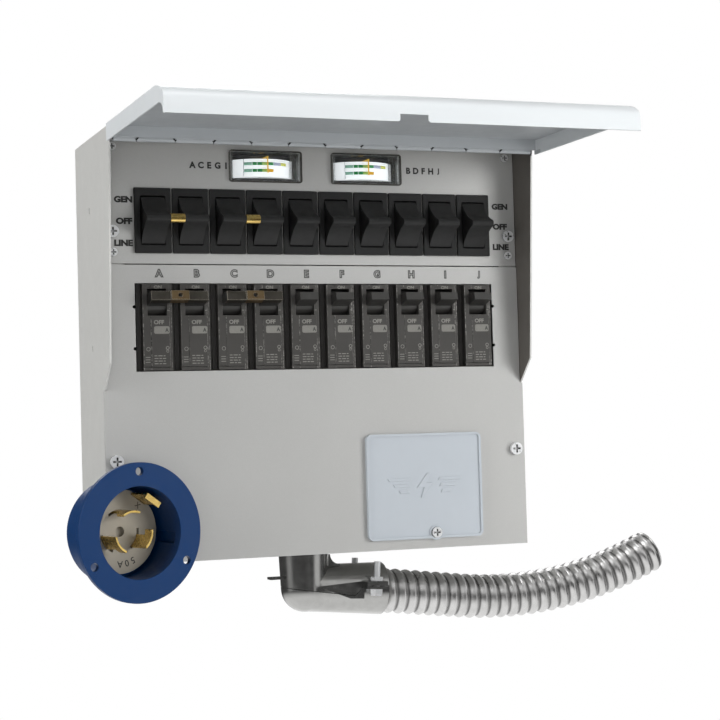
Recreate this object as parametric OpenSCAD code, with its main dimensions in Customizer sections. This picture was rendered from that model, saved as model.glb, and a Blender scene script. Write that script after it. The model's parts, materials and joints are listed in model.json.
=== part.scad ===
// Manual transfer switch: a wall box with a hinged lid, ten centre-off rocker switches,
// ten plug-in breakers, two edgewise power meters, a flexible conduit and a flanged power inlet.
// Origin at the centre of the back face; X to the right, the front looks along -Y, Z up.

/* [Enclosure] */
// Width of the box across its side walls
box_w = 297; // [296:0.5:300]
// Height of the box
box_h = 280; // [279:0.5:281]
// Depth from the wall to the front of the lower cover
box_d = 75; // [74.5:0.5:76]
// Thickness of the sheet steel
sheet = 1.2; // [1:0.1:1.2]
// How far the side walls reach past the cover, at the top
wing_top = 28.5; // [28:0.5:29]
// How far the side walls reach past the cover, at their lower corners
wing_low = 16.5; // [15:0.5:17]
// Height of the gap between the upper panel and the lower cover
split_z = 53.7; // [53.2:0.1:54]

/* [Lid] */
// Reach of the lid in front of its hinge
lid_reach = 144; // [142:0.5:145]
// Depth of the lid's front flange
lid_front = 18.5; // [17:0.5:19]
// Depth of the lid's side flanges
lid_side = 11; // [9:0.5:12]

/* [Circuits] */
// Distance between neighbouring circuits
pitch = 25.4; // [25.4]
// Number of circuits
circuits = 10; // [10]
// Height of the rocker switches' centre
switch_z = 82.3; // [82:0.1:82.6]
// How far a rocker's nose stands in front of its pivot
nose_reach = 25; // [22:0.5:26]
// Height of the breaker handles' pivot
handle_z = 29; // [28.8:0.1:29.2]
// Angle of a breaker handle that is on, above level
handle_on = 10; // [8:1:14]

/* [Meters] */
// Distance of each meter from the middle of the box
meter_x = 36; // [35:0.5:37]
// Height of the meters' centre
meter_z = 119.7; // [119.5:0.1:120]
// Outer radius of a meter's curved lens
lens_r = 34.5; // [34.5:0.5:35.5]

/* [Conduit] */
// Position of the conduit elbow along the bottom of the box
elbow_x = -4; // [-10:1:4]
// Outer radius of the flexible conduit
flex_r = 15.5; // [15:0.1:15.5]
// Angle by which the conduit leaves the elbow below level
flex_dip = 7; // [4:1:10]
// Length of the straight stretch of conduit
flex_straight = 98; // [60:1:110]
// Radius of the conduit's bend
flex_bend = 290; // [250:5:330]

/* [Inlet] */
// Radius of the inlet's flange
inlet_r = 43.5; // [42:0.5:44]
// Angle by which the inlet faces away from square
inlet_turn = 17; // [15:1:19]
// Depth of the inlet's pin face behind its flange
inlet_recess = 26; // [25:0.5:26.5]

/* [Hidden] */

steel_grey = [0.72, 0.72, 0.70];
lid_white = [0.92, 0.94, 0.95];
plate_blue = [0.76, 0.79, 0.83];
black = [0.09, 0.09, 0.09];
breaker_grey = [0.23, 0.23, 0.24];
handle_black = [0.15, 0.15, 0.16];
brass = [0.80, 0.62, 0.24];
bronze = [0.42, 0.32, 0.20];
zinc = [0.75, 0.76, 0.77];
die_cast = [0.55, 0.56, 0.56];
inlet_blue = [0.12, 0.24, 0.46];
beige = [0.72, 0.69, 0.63];
copper = [0.72, 0.45, 0.30];

round_fn = 48;          // facets asked for on round work
touch = 0.1;            // gap between neighbouring solids
run_gap = 0.05;         // running clearance of a pin in its bore
cut = 1;                // how far a cutter reaches past what it cuts

half_w = box_w / 2;
top_z = box_h / 2;
roof_z = top_z - 0.5;                  // top of the sheet-metal roof
cover_y = -box_d;                      // front of the lower cover
panel_y = cover_y + 1;                 // front of the recessed upper panel
wing_top_y = cover_y - wing_top;
wing_low_y = cover_y - wing_low;
wing_low_z = -11;
chamfer_z = wing_low_z - wing_low;     // where the wings' chamfers meet the cover
cover_gap = 0.3;                       // gap round the panel and the cover
panel_half = half_w - sheet - cover_gap;
front_edge_y = cover_y + sheet + 0.2;  // front edge of the box, just behind the cover
floor_z = -top_z + 2 * sheet;          // upper side of the box's floor
lip_y = panel_y + sheet + 0.2;         // front of the lips that hold the panel and the cover
lip_w = 14;
stiffener = 9;                         // depth of the flanges folded back from the panels

hinge_y = wing_top_y - 0.1;
hinge_z = 130.6;
knuckle_r = 1.9;
hinge_pin_r = 1;
knuckle_gap = 0.6;
knuckle_count = 12;
knuckle_shift = -4.2;                  // the hinge's middle joint stands this far left of centre
joint_notch = [4.4, 2.4];              // the notch between two knuckles, at its top
hinge_half = 146;
leaf = 1;                              // thickness of the hinge leaves
leaf_gap = 0.7;                        // distance of the box's leaf behind the hinge axis
lid_leaf_gap = 1;                      // distance of the lid's leaf in front of the hinge axis
lid_flange = [3, 2];                   // distances of the lid's rear flange in front of the axis
lid_flange_z = hinge_z + 0.6;
lid_half = half_w + 2;
lid_front_y = hinge_y - lid_reach;
lid_bend_y = 22;                       // size of the rounded front edge, along Y and along Z
lid_bend_z = 10;

row_x = [for (i = [0 : circuits - 1]) pitch * (i - (circuits - 1) / 2)];
bezel = [24.5, 42.8];
opening = [16.4, 32.2];
bezel_proud = 2.5;
rocker_w = 15.8;
rocker_pivot_y = panel_y + 6;
rocker_skirt_r = 17;
rocker_pin_r = 1.5;
housing = [21, 37.6];
housing_depth = 30;
housing_gap = 0.2;
rocker_nose_y = rocker_pivot_y - nose_reach;

breaker_shift = 1.4;                   // the breakers stand this far right of the rocker switches
breaker_x = [for (x = row_x) x + breaker_shift];
window_half = 127.3;                   // opening for the breakers
window_z = [-16.1, 41.4];
breaker_front_y = cover_y - 1;
breaker_shoulder_y = cover_y + 5;
breaker_back_y = -14;
nose_w = 19.4;
nose_z = [-15.4, 40.7];
handle_w = 12.6;
handle_y = breaker_front_y + 9.5;
drum_r = 8.6;
handle_reach = 19.5;
handle_thick = 5;
handle_root = [4, 4.4];                // where a handle's paddle leaves its drum

plate_x = [29.3, 114.1];
plate_z = [-133.1, -61.3];
plate_screw = [79, -129.2];
plate_hole_r = 1.8;
plate_head_r = 3.6;
plate_thick = 2.2;
plate_rim = 3.2;                       // how far the plate's raised rim stands in front of the cover
cover_screw = [141.8, -73.8];
cover_screw_r = 2.2;                   // radius of the holes for the cover's screws
panel_screw = [141, 75];
panel_screw_r = 2;
small_screws = [[140.3, 130.3], [140.7, 61.5]];
small_screw_r = 1.5;
notch_z = [-1.2, 26];                  // notches in the sides of the breakers' window
notch_r = 1.1;

meter_pivot_y = panel_y + 25;
lens_front_r = lens_r - 1.2;
lens_half = [23.3, 9.4];
needle_rest = 1;                       // angle of the needle at rest, from straight ahead
dial_r = 28;
dial_half = 21.1;
staff_r = 0.8;                         // radius of the needle's staff
lens_wall = 1;
lens_rim = [51, 21.4];                 // size of the frame round the lens

elbow_y = -38;
corner_z = -165.2;                     // where the elbow's two bores meet
mouth_out = 17.7;                      // distance of the clamp's frame from that corner
run_dip = 3.4;                         // angle of the elbow's lower mouth below level
sag_at = 16;                           // where along the mouth the conduit's own dip begins
elbow_r = 17.4;                        // the castings' outer radius under the box
corner_r = 16.3;                       // their radius at the corner
mouth_r = 18;                          // their radius at the mouth
elbow_bore = 13;
bore_step = 0.3;                       // the bore's round corner is this much slimmer
hub_thread_r = elbow_r - 1;
clamp_len = 38;
clamp_at = 27;                         // distance of the clamp screws along the mouth
clamp_half = 21.8;                     // distance of the clamp screws from the mouth's axis
clamp_z = 3.2;                         // height of the clamp's gap above the mouth's axis
clamp_screw_r = 2.2;
clamp_shank_z = 19.6;                  // height of the clamp screws' ends
ear = [15, 10, 3];                     // size of each ear; the saddle's is thinner
saddle_ear = 1.8;
saddle_gap = 0.2;                      // half the gap between the elbow's two castings
hub_top = -top_z + 13;
tongue = 8;                            // length of the tongue behind the elbow
flex_start = 8;
flex_wall = 2.5;
flex_arc = 31.6;                         // degrees turned by the conduit's bend

inlet_at = [-138.5, -123, -117.2];
inlet_mouth_r = 28.8;
inlet_can_r = 33;
inlet_can_len = 34;
inlet_can_wall = 2;
inlet_rim = 3.5;                       // thickness of the flange
inlet_hole_r = 2.6;
inlet_hole_pcd = 75.8;
inlet_hole_turns = [90, 210, 330];
nipple = [-129.5, -117.2];
nipple_r = 13;
nipple_back = 10;                      // how far the nipple reaches behind the cover's front

// ---- small tools ----

module block(x, y, z) {
    translate([x[0], y[0], z[0]]) cube([x[1] - x[0], y[1] - y[0], z[1] - z[0]]);
}

// Rods along each axis; a and b are the two ends
module rod_x(r, a, b, y, z, fn = round_fn) {
    translate([a, y, z]) rotate([0, 90, 0]) cylinder(r = r, h = b - a, $fn = fn);
}

module rod_y(r, x, a, b, z, fn = round_fn) {
    translate([x, b, z]) rotate([90, 0, 0]) cylinder(r = r, h = b - a, $fn = fn);
}

module rod_z(r, x, y, a, b, fn = round_fn) {
    translate([x, y, a]) cylinder(r = r, h = b - a, $fn = fn);
}

// Extrude an outline drawn as (x, z) from y = a to y = b
module along_y(a, b) {
    translate([0, b, 0]) rotate([90, 0, 0]) linear_extrude(b - a) children();
}

// Extrude an outline drawn as (y, z) from x = a to x = b
module along_x(a, b) {
    translate([a, 0, 0]) rotate([90, 0, 90]) linear_extrude(b - a) children();
}

module round_rect(w, h, r) {
    square([w - 2 * r, h], center = true);
    square([w, h - 2 * r], center = true);
    for (sx = [-1, 1], sz = [-1, 1])
        translate([sx * (w / 2 - r), sz * (h / 2 - r)]) circle(r, $fn = round_fn);
}

module both_sides() {
    children();
    mirror([1, 0, 0]) children();
}

function ellipse_arc(cy, cz, ry, rz, from, to, steps) =
    [for (i = [0 : steps]) let (a = from + (to - from) * i / steps) [cy + ry * cos(a), cz + rz * sin(a)]];

function bezier(p0, p1, p2, steps) =
    [for (i = [1 : steps]) let (t = i / steps)
        (1 - t) * (1 - t) * p0 + 2 * t * (1 - t) * p1 + t * t * p2];

// A pan-head screw seen from the front: its head stands forward of y, its shank goes back
module pan_screw(x, y, z, head_r, head_h, shank_r, shank_len) {
    difference() {
        union() {
            rod_y(head_r, x, y - head_h, y, z);
            rod_y(shank_r, x, y - cut / 2, y + shank_len, z);
        }
        for (turn = [0, 90])
            translate([x, y - head_h, z]) rotate([0, turn, 0])
                cube([head_r * 1.3, head_h, head_r * 0.28], center = true);
    }
}

// ---- enclosure ----

module side_outline() {
    polygon([[0, -top_z + sheet], [front_edge_y, -top_z + sheet],
        [front_edge_y, chamfer_z], [cover_y, chamfer_z],
        [wing_low_y, wing_low_z], [wing_top_y, roof_z], [0, roof_z]]);
}

// X of the joint at the left end of hinge knuckle i
function joint_x(i) = knuckle_shift + (i - knuckle_count / 2) * pitch;

// The box has the odd knuckles, the lid the even ones; notches part them where they meet
module knuckles(first) {
    difference() {
        for (i = [first : 2 : knuckle_count - 1])
            rod_x(knuckle_r, max(-hinge_half, joint_x(i) + knuckle_gap / 2),
                min(hinge_half, joint_x(i + 1) - knuckle_gap / 2), hinge_y, hinge_z);
        rod_x(hinge_pin_r + run_gap, -hinge_half - cut, hinge_half + cut, hinge_y, hinge_z);
        for (i = [1 : knuckle_count - 1]) along_y(hinge_y - 2 * knuckle_r, hinge_y + leaf_gap - touch)
            translate([joint_x(i), hinge_z]) polygon([[0, -1.4], [joint_notch[0] / 2, 0.9],
                [joint_notch[0] / 2, joint_notch[1]], [-joint_notch[0] / 2, joint_notch[1]],
                [-joint_notch[0] / 2, 0.9]]);
    }
}

// Room that each leaf leaves for the other leaf's knuckles
module knuckle_room(first) {
    room = 4;
    for (i = [first : 2 : knuckle_count - 1])
        block([joint_x(i), joint_x(i + 1)], [hinge_y - room, hinge_y + room],
            [hinge_z - room, hinge_z + knuckle_r + 0.6]);
}

module bored_leaf(y, from_first) {
    difference() {
        block([-hinge_half, hinge_half], y, [hinge_z, roof_z - sheet / 2]);
        knuckle_room(from_first);
        rod_x(hinge_pin_r + run_gap, -hinge_half - cut, hinge_half + cut, hinge_y, hinge_z);
    }
}

wall_holes = [220, 200];
wall_hole_r = 3.2;
side_slots = [92, 0.6];                // heights of the small slots in the side walls
slot_y = -42;
slot = [1, 4];

module enclosure_box() {
    color(steel_grey) difference() {
        union() {
            block([-half_w, half_w], [-sheet, 0], [-top_z + sheet, roof_z]);
            both_sides() along_x(half_w - sheet, half_w) side_outline();
            block([-half_w, half_w], [hinge_y + leaf_gap, 0], [roof_z - sheet, roof_z]);
            block([-half_w, half_w], [front_edge_y, 0], [-top_z + sheet, floor_z]);
            both_sides() block([half_w - lip_w, half_w - sheet / 2], [lip_y, lip_y + sheet],
                [floor_z, roof_z - sheet]);
            knuckles(1);
            bored_leaf([hinge_y + leaf_gap, hinge_y + leaf_gap + leaf], 0);
        }
        for (sx = [-1, 1], sz = [-1, 1])
            rod_y(wall_hole_r, sx * wall_holes[0] / 2, -sheet - cut, cut, sz * wall_holes[1] / 2);
        both_sides() for (z = side_slots)
            block([half_w - 2 * sheet, half_w + cut], [slot_y - slot[0] / 2, slot_y + slot[0] / 2],
                [z - slot[1] / 2, z + slot[1] / 2]);
        rod_z(hub_thread_r + 0.2, elbow_x, elbow_y, -top_z, floor_z + cut);
        rod_y(nipple_r + 5, nipple[0], cover_y, cover_y + nipple_back, nipple[1]);
        panel_screw_bores();
        cover_screw_bores();
    }
}

screw_room = 8;                        // depth of the bores for screws, from the cover's front

module panel_screw_bores() {
    for (sx = [-1, 1]) {
        rod_y(panel_screw_r, sx * panel_screw[0], cover_y - cut, cover_y + screw_room, panel_screw[1]);
        for (at = small_screws)
            rod_y(small_screw_r, sx * at[0], cover_y - cut, cover_y + screw_room, at[1]);
    }
}

module cover_screw_bores() {
    for (sx = [-1, 1])
        rod_y(cover_screw_r, sx * cover_screw[0], cover_y - cut, cover_y + screw_room, cover_screw[1]);
}

module upper_panel() {
    low = split_z + 0.5;
    high = roof_z - sheet - cover_gap;
    flange = panel_half - lip_w - 2;
    color(steel_grey) difference() {
        union() {
            block([-panel_half, panel_half], [panel_y, panel_y + sheet], [low, high]);
            block([-flange, flange], [panel_y, panel_y + stiffener], [low, low + sheet]);
            block([-flange, flange], [panel_y, panel_y + stiffener], [high - sheet, high]);
        }
        for (x = row_x)
            translate([x, 0, switch_z]) along_y(panel_y - cut, panel_y + sheet + cut)
                square(housing + 2 * housing_gap * [1, 1], center = true);
        for (sx = [-1, 1])
            translate([sx * meter_x, 0, meter_z]) along_y(panel_y - cut, panel_y + sheet + cut)
                square(2 * (lens_half + cover_gap * [1, 1]), center = true);
        panel_screw_bores();
    }
}

module lower_cover() {
    full = half_w + 0.5;
    high = split_z - cover_gap;
    flange = panel_half - lip_w - 2;
    color(steel_grey) difference() {
        union() {
            block([-panel_half, panel_half], [cover_y, cover_y + sheet], [chamfer_z - 1, high]);
            block([-full, full], [cover_y, cover_y + sheet], [-top_z, chamfer_z - cover_gap]);
            block([-full, full], [cover_y, cover_y + lip_w], [-top_z, -top_z + sheet - touch]);
            block([-flange, flange], [cover_y, cover_y + stiffener], [high - sheet, high]);
        }
        block([-window_half, window_half], [cover_y - cut, cover_y + sheet + cut], window_z);
        for (sx = [-1, 1], z = notch_z)
            rod_y(notch_r, sx * (window_half + notch_r / 2), cover_y - cut, cover_y + sheet + cut, z);
        cover_screw_bores();
        rod_y(nipple_r + touch, nipple[0], cover_y - cut, cover_y + sheet + cut, nipple[1]);
        rod_y(plate_hole_r, plate_screw[0], cover_y - cut, cover_y + sheet + cut, plate_screw[1]);
    }
}

module cover_plate() {
    w = plate_x[1] - plate_x[0];
    h = plate_z[1] - plate_z[0];
    corner = 4;
    rim = 1.6;
    color(plate_blue) difference() {
        translate([(plate_x[0] + plate_x[1]) / 2, 0, (plate_z[0] + plate_z[1]) / 2]) {
            along_y(cover_y - plate_thick, cover_y - touch) round_rect(w, h, corner);
            along_y(cover_y - plate_rim, cover_y - plate_thick + touch) difference() {
                round_rect(w, h, corner);
                round_rect(w - 2 * rim, h - 2 * rim, corner - rim);
            }
        }
        rod_y(plate_hole_r, plate_screw[0], cover_y - plate_rim - cut, cover_y, plate_screw[1]);
        rod_y(plate_head_r + 0.2, plate_screw[0], cover_y - plate_rim - cut, cover_y - plate_thick,
            plate_screw[1]);
    }
}

module cover_plate_screw() {
    color(zinc)
        pan_screw(plate_screw[0], cover_y - plate_thick - touch, plate_screw[1], plate_head_r, 2,
            plate_hole_r - touch, 9);
}

module lower_cover_screws() {
    color(zinc) for (sx = [-1, 1])
        pan_screw(sx * cover_screw[0], cover_y - touch, cover_screw[1], 4.3, 3, cover_screw_r - 0.2, 10);
}

module panel_screws() {
    color(zinc) for (sx = [-1, 1])
        pan_screw(sx * panel_screw[0], panel_y - touch, panel_screw[1], 4, 2.6, panel_screw_r - touch, 9);
}

module panel_small_screws() {
    color(zinc) for (sx = [-1, 1], at = small_screws)
        pan_screw(sx * at[0], panel_y - touch, at[1], 2.7, 1.8, small_screw_r - touch, 8);
}

// ---- lid, modelled open ----

module lid_section(inset) {
    y0 = lid_front_y + lid_bend_y;
    z0 = roof_z - lid_bend_z;
    polygon(concat([[hinge_y - leaf, roof_z - inset]],
        ellipse_arc(y0, z0, lid_bend_y - inset, lid_bend_z - inset, 90, 180, 10),
        [[lid_front_y + inset, roof_z - lid_front - inset * 2],
         [hinge_y - leaf, roof_z - lid_front - inset * 2]]));
}

module lid_side_outline() {
    corner = 10;
    intersection() {
        lid_section(0);
        difference() {
            translate([lid_front_y - cut, roof_z - lid_front]) square([lid_reach + cut, lid_front + cut]);
            polygon(concat([[hinge_y + 9, roof_z - lid_side], [hinge_y + 9, roof_z - lid_front - cut],
                [lid_front_y + corner - 8.5, roof_z - lid_front - cut]],
                ellipse_arc(lid_front_y + corner + 1.5, roof_z - lid_front, corner, lid_front - lid_side,
                    180, 90, 8)));
        }
    }
}

// Notch in the front flange's free edge, rounded where it opens
module finger_notch() {
    wide = 18;
    deep = 4.4;
    fillet = 1.6;
    square([wide, 2 * deep], center = true);
    difference() {
        square([wide + 2 * fillet, 2 * fillet], center = true);
        both_sides() translate([wide / 2 + fillet, fillet]) circle(fillet, $fn = round_fn);
    }
}

module lid() {
    color(lid_white) difference() {
        union() {
            along_x(-lid_half, lid_half) difference() {
                lid_section(0);
                lid_section(sheet);
            }
            both_sides() along_x(lid_half - sheet, lid_half) lid_side_outline();
            block([-lid_half + sheet / 2, lid_half - sheet / 2],
                [hinge_y - lid_flange[0], hinge_y - lid_flange[1]], [lid_flange_z, roof_z - sheet / 2]);
            bored_leaf([hinge_y - lid_leaf_gap - leaf, hinge_y - lid_leaf_gap], 1);
            knuckles(0);
        }
        along_y(lid_front_y - cut, lid_front_y + 3) translate([0, roof_z - lid_front]) finger_notch();
    }
}

module hinge_pin() {
    color(zinc) rod_x(hinge_pin_r, -hinge_half, hinge_half, hinge_y, hinge_z);
}

// ---- rocker switches ----

module switch_housings() {
    wall = 2;
    color(black) for (x = row_x) difference() {
        union() {
            translate([x, 0, switch_z]) along_y(panel_y - bezel_proud, panel_y - touch)
                square(bezel, center = true);
            translate([x, 0, switch_z]) along_y(panel_y - touch - 0.5, panel_y + housing_depth)
                square(housing, center = true);
        }
        translate([x, 0, switch_z]) along_y(panel_y - bezel_proud - cut, panel_y + wall)
            square(opening, center = true);
        translate([x, 0, switch_z]) along_y(panel_y, panel_y + housing_depth - wall)
            square([opening[0], housing[1] - wall], center = true);
        rod_x(rocker_pin_r + run_gap, x - housing[0], x + housing[0], rocker_pivot_y, switch_z);
    }
}

module switch_terminals() {
    tab = [0.8, 8, 6.3];
    spacing = 10;
    back = panel_y + housing_depth;
    color(brass) for (x = row_x, k = [-1, 0, 1])
        block([x - tab[0] / 2, x + tab[0] / 2], [back + touch, back + tab[1]],
            [switch_z + spacing * k - tab[2] / 2, switch_z + spacing * k + tab[2] / 2]);
}

// Side outline of a rocker about its pivot, as (y, z): a skirt that follows the pivot and a
// nose with hollow flanks
module rocker_outline() {
    skirt = 62;
    nose = 1.7;
    half = concat(
        [for (a = [86 : -6 : skirt]) [-rocker_skirt_r * cos(a), rocker_skirt_r * sin(a)]],
        bezier([-rocker_skirt_r * cos(skirt), rocker_skirt_r * sin(skirt)],
            [-rocker_skirt_r * cos(skirt) - 5.5, 5.5], [-nose_reach + 1.2, nose + 0.3], 8),
        [[-nose_reach + 0.3, nose - 0.4], [-nose_reach, nose - 1]]);
    polygon(concat(half, [for (i = [len(half) - 1 : -1 : 0]) [half[i][0], -half[i][1]]]));
    circle(4.5, $fn = round_fn);
}

module rocker(i, tied = 0) {
    x = row_x[i];
    color(black) difference() {
        union() {
            translate([0, rocker_pivot_y, switch_z])
                along_x(x - rocker_w / 2, x + rocker_w / 2) rocker_outline();
            rod_x(rocker_pin_r, x - housing[0] / 2 + 0.3, x + housing[0] / 2 - 0.3,
                rocker_pivot_y, switch_z);
        }
        if (tied != 0)
            rod_x(tie_rod_r, x + tied * 6.5 - tie_hole / 2, x + tied * 6.5 + tie_hole / 2, tie_y, switch_z);
    }
}

tie_rod_r = 1;
tie_y = rocker_nose_y + 3;
tie_sleeve_r = 3;
tie_hole = 5;                          // length of the cut that leaves a hole for the rod's end

// Brass sleeve and rod that joins two rockers' noses
module rocker_tie(i) {
    mid = (row_x[i] + row_x[i + 1]) / 2;
    half = (pitch - rocker_w) / 2 - touch;
    color(brass) {
        rod_x(tie_sleeve_r, mid - half, mid + half, tie_y, switch_z);
        rod_x(tie_rod_r - 0.05, mid - half - 3.5, mid + half + 3.5, tie_y, switch_z);
    }
}

module rocker_a() { rocker(0, 1); }
module rocker_b() { rocker(1, -1); }
module rocker_c() { rocker(2, 1); }
module rocker_d() { rocker(3, -1); }
module rocker_e() { rocker(4); }
module rocker_f() { rocker(5); }
module rocker_g() { rocker(6); }
module rocker_h() { rocker(7); }
module rocker_i() { rocker(8); }
module rocker_j() { rocker(9); }
module rocker_tie_ab() { rocker_tie(0); }
module rocker_tie_cd() { rocker_tie(2); }

// ---- breakers ----

case_z = [-31, 51];
case_w = pitch - 0.4;
handle_pin_r = 1.5;
handle_room = 0.2;
terminal = [3.8, 8, -45];              // radius, depth and Y of the wells for the terminal screws

module breaker_cases() {
    nick = 1.4;
    color(breaker_grey) for (x = breaker_x) difference() {
        union() {
            block([x - case_w / 2, x + case_w / 2], [breaker_shoulder_y, breaker_back_y], case_z);
            block([x - nose_w / 2, x + nose_w / 2], [breaker_front_y, breaker_shoulder_y + cut], nose_z);
        }
        block([x - handle_w / 2 - handle_room, x + handle_w / 2 + handle_room],
            [breaker_front_y - cut, handle_y + drum_r + handle_room],
            [handle_z - drum_r - handle_room, handle_z + drum_r + handle_room]);
        rod_x(handle_pin_r + run_gap, x - 9, x + 9, handle_y, handle_z);
        rod_z(terminal[0], x, terminal[2], case_z[0] - cut, case_z[0] + terminal[1]);
        block([x - nose_w / 2, x + nose_w / 2 - 1.7], [breaker_front_y - cut, breaker_front_y + nick],
            [nose_z[0] + 1.6, nose_z[0] + 2.6]);
    }
}

module breaker_terminal_screws() {
    color(zinc) for (x = breaker_x) difference() {
        rod_z(terminal[0] - 0.2, x, terminal[2], case_z[0] + 1, case_z[0] + terminal[1] - touch);
        block([x - 4, x + 4], [terminal[2] - 0.4, terminal[2] + 0.4], [case_z[0], case_z[0] + 2.2]);
    }
}

module at_handle() {
    translate([0, handle_y, handle_z]) rotate([-handle_on, 0, 0]) children();
}

module breaker_handle(i) {
    x = breaker_x[i];
    color(handle_black) {
        at_handle() along_x(x - handle_w / 2, x + handle_w / 2) {
            circle(drum_r, $fn = round_fn);
            polygon([[-handle_root[0], handle_root[1]], [-handle_reach, handle_thick / 2],
                [-handle_reach, -handle_thick / 2], [-handle_root[0], -handle_root[1]]]);
        }
        rod_x(handle_pin_r, x - 8.7, x + 8.7, handle_y, handle_z);
    }
}

// Bronze clip that hooks over two handles' tips, with a bored bridge between them
module handle_tie(i) {
    strip = 0.8;
    hook = 0.45;
    hook_reach = 5;
    a = breaker_x[i] - handle_w / 2;
    b = breaker_x[i + 1] + handle_w / 2;
    mid = (a + b) / 2;
    bridge = 5.6;
    proud = 2.4;
    tip = -handle_reach - touch;
    taper = hook_reach * (handle_root[1] - handle_thick / 2) / (handle_reach - handle_root[0]);
    high = handle_thick / 2 + touch;
    full = high + hook;
    color(bronze) difference() {
        at_handle() {
            along_x(a, b) difference() {
                polygon([[tip - strip, full], [tip + hook_reach, full + taper],
                    [tip + hook_reach, -full - taper], [tip - strip, -full]]);
                polygon([[tip, high], [tip + hook_reach + cut, high + taper * (1 + cut / hook_reach)],
                    [tip + hook_reach + cut, -high - taper * (1 + cut / hook_reach)], [tip, -high]]);
            }
            for (s = [-1, 1])
                translate([mid + s * bridge, 0, 0])
                    block([-strip / 2, strip / 2], [tip - proud, tip], [-full, full]);
            block([mid - bridge, mid + bridge], [tip - proud, tip - proud + strip], [-full, full]);
        }
        at_handle() rod_y(1.4, mid, tip - 5, tip + cut, 0);
    }
}

module breaker_handle_a() { breaker_handle(0); }
module breaker_handle_b() { breaker_handle(1); }
module breaker_handle_c() { breaker_handle(2); }
module breaker_handle_d() { breaker_handle(3); }
module breaker_handle_e() { breaker_handle(4); }
module breaker_handle_f() { breaker_handle(5); }
module breaker_handle_g() { breaker_handle(6); }
module breaker_handle_h() { breaker_handle(7); }
module breaker_handle_i() { breaker_handle(8); }
module breaker_handle_j() { breaker_handle(9); }
module handle_tie_ab() { handle_tie(0); }
module handle_tie_cd() { handle_tie(2); }

bus_thick = 3;
bus_z = [4, 20];

module bus_bar() {
    color(copper)
        block([row_x[0] - 12, row_x[9] + 12], [breaker_back_y + touch, breaker_back_y + bus_thick], bus_z);
}

module breaker_base() {
    base_z = [-12, 36];
    hole_r = 5;
    color(black) difference() {
        block([row_x[0] - 16, row_x[9] + 16], [breaker_back_y + bus_thick + touch, -sheet - touch], base_z);
        for (x = [-100 : 50 : 100])
            rod_y(hole_r, x, breaker_back_y, 0, bus_z[1] + 6);
    }
}

// ---- meters ----

module each_meter() {
    for (sx = [-1, 1])
        translate([sx * meter_x, 0, meter_z]) children();
}

module meter_cases() {
    front = panel_y + 4.2;
    back = panel_y + 38;
    half_h = 8.8;
    wall = [1.6, 1.5];
    color(black) each_meter() difference() {
        block([-lens_half[0], lens_half[0]], [front, back], [-half_h, half_h]);
        block([-lens_half[0] + wall[0], lens_half[0] - wall[0]], [front - cut, back - 2],
            [-half_h + wall[1], half_h - wall[1]]);
        rod_z(staff_r + run_gap, 0, meter_pivot_y, -10, 10);
    }
}

// Curved scale with a floor behind it
module meter_dials() {
    card = 1;
    bottom = -7.2;
    top = 5;
    color([0.95, 0.95, 0.92]) each_meter() {
        intersection() {
            difference() {
                rod_z(dial_r, 0, meter_pivot_y, bottom, top);
                rod_z(dial_r - card, 0, meter_pivot_y, bottom + card, top + cut);
                rod_z(8, 0, meter_pivot_y, bottom - cut, top + cut);
            }
            block([-dial_half, dial_half], [meter_pivot_y - 40, meter_pivot_y - 10], [-10, 10]);
        }
    }
}

module meter_lenses() {
    color([0.85, 0.9, 0.92, 0.4]) each_meter() {
        difference() {
            intersection() {
                rod_z(lens_r, 0, meter_pivot_y, -lens_half[1], lens_half[1]);
                block([-lens_half[0], lens_half[0]], [meter_pivot_y - 40, panel_y + 4], [-10, 10]);
            }
            rod_z(lens_front_r, 0, meter_pivot_y, -lens_half[1] + lens_wall, lens_half[1] - lens_wall);
            block([-lens_half[0] + 1.2, lens_half[0] - 1.2], [panel_y, panel_y + 5],
                [-lens_half[1] + lens_wall, lens_half[1] - lens_wall]);
        }
        along_y(panel_y - 2, panel_y - touch) difference() {
            round_rect(lens_rim[0], lens_rim[1], 2);
            square([2 * lens_half[0] - 0.4, 2 * lens_half[1] - 0.4], center = true);
        }
    }
}

// An arm over the scale's top edge, with a pointer that hangs down in front of the scale
module meter_needle(side) {
    reach = dial_r + 1.6;
    arm_z = [5.6, 6.6];
    color([0.75, 0.1, 0.08]) translate([side * meter_x, meter_pivot_y, meter_z]) {
        rod_z(staff_r, 0, 0, -8.2, 8.2);
        rotate([0, 0, needle_rest]) {
            block([-0.5, 0.5], [-reach, 5], arm_z);
            block([-0.4, 0.4], [-reach, -reach + 0.8], [-4.5, arm_z[0] + 0.4]);
            rod_z(1.8, 0, 4, arm_z[0], arm_z[1]);
        }
    }
}

module meter_needle_left() { meter_needle(-1); }
module meter_needle_right() { meter_needle(1); }

// ---- conduit ----

// Frame of the elbow's lower mouth and its clamp: X runs out of the mouth
module at_mouth() {
    translate([elbow_x, elbow_y, corner_z]) rotate([0, run_dip, 0]) translate([mouth_out, 0, 0])
        children();
}

// Frame of the conduit, which dips more than the mouth that holds it
module at_conduit() {
    at_mouth() translate([sag_at, 0, 0]) rotate([0, flex_dip - run_dip, 0]) translate([-sag_at, 0, 0])
        children();
}

// Rib in the elbow's inner corner, hollow on its free side
module elbow_rib() {
    reach = [8, 9];
    at = [16.2, 13.5];                 // the rib's lower left corner, from the bores' corner
    thick = 12;
    along_y(elbow_y - thick / 2, elbow_y + thick / 2)
        translate([elbow_x + at[0], corner_z + at[1]]) difference() {
            square(reach);
            translate(reach) circle(reach[0] - 1, $fn = round_fn);
        }
}

// Flat facet cast on the front of the mouth
module elbow_facet() {
    at_mouth() along_y(-mouth_r + 0.7, -flex_r - 0.2)
        polygon([[-14, 2], [20, 6], [20, -6], [10, -6]]);
}

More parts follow.
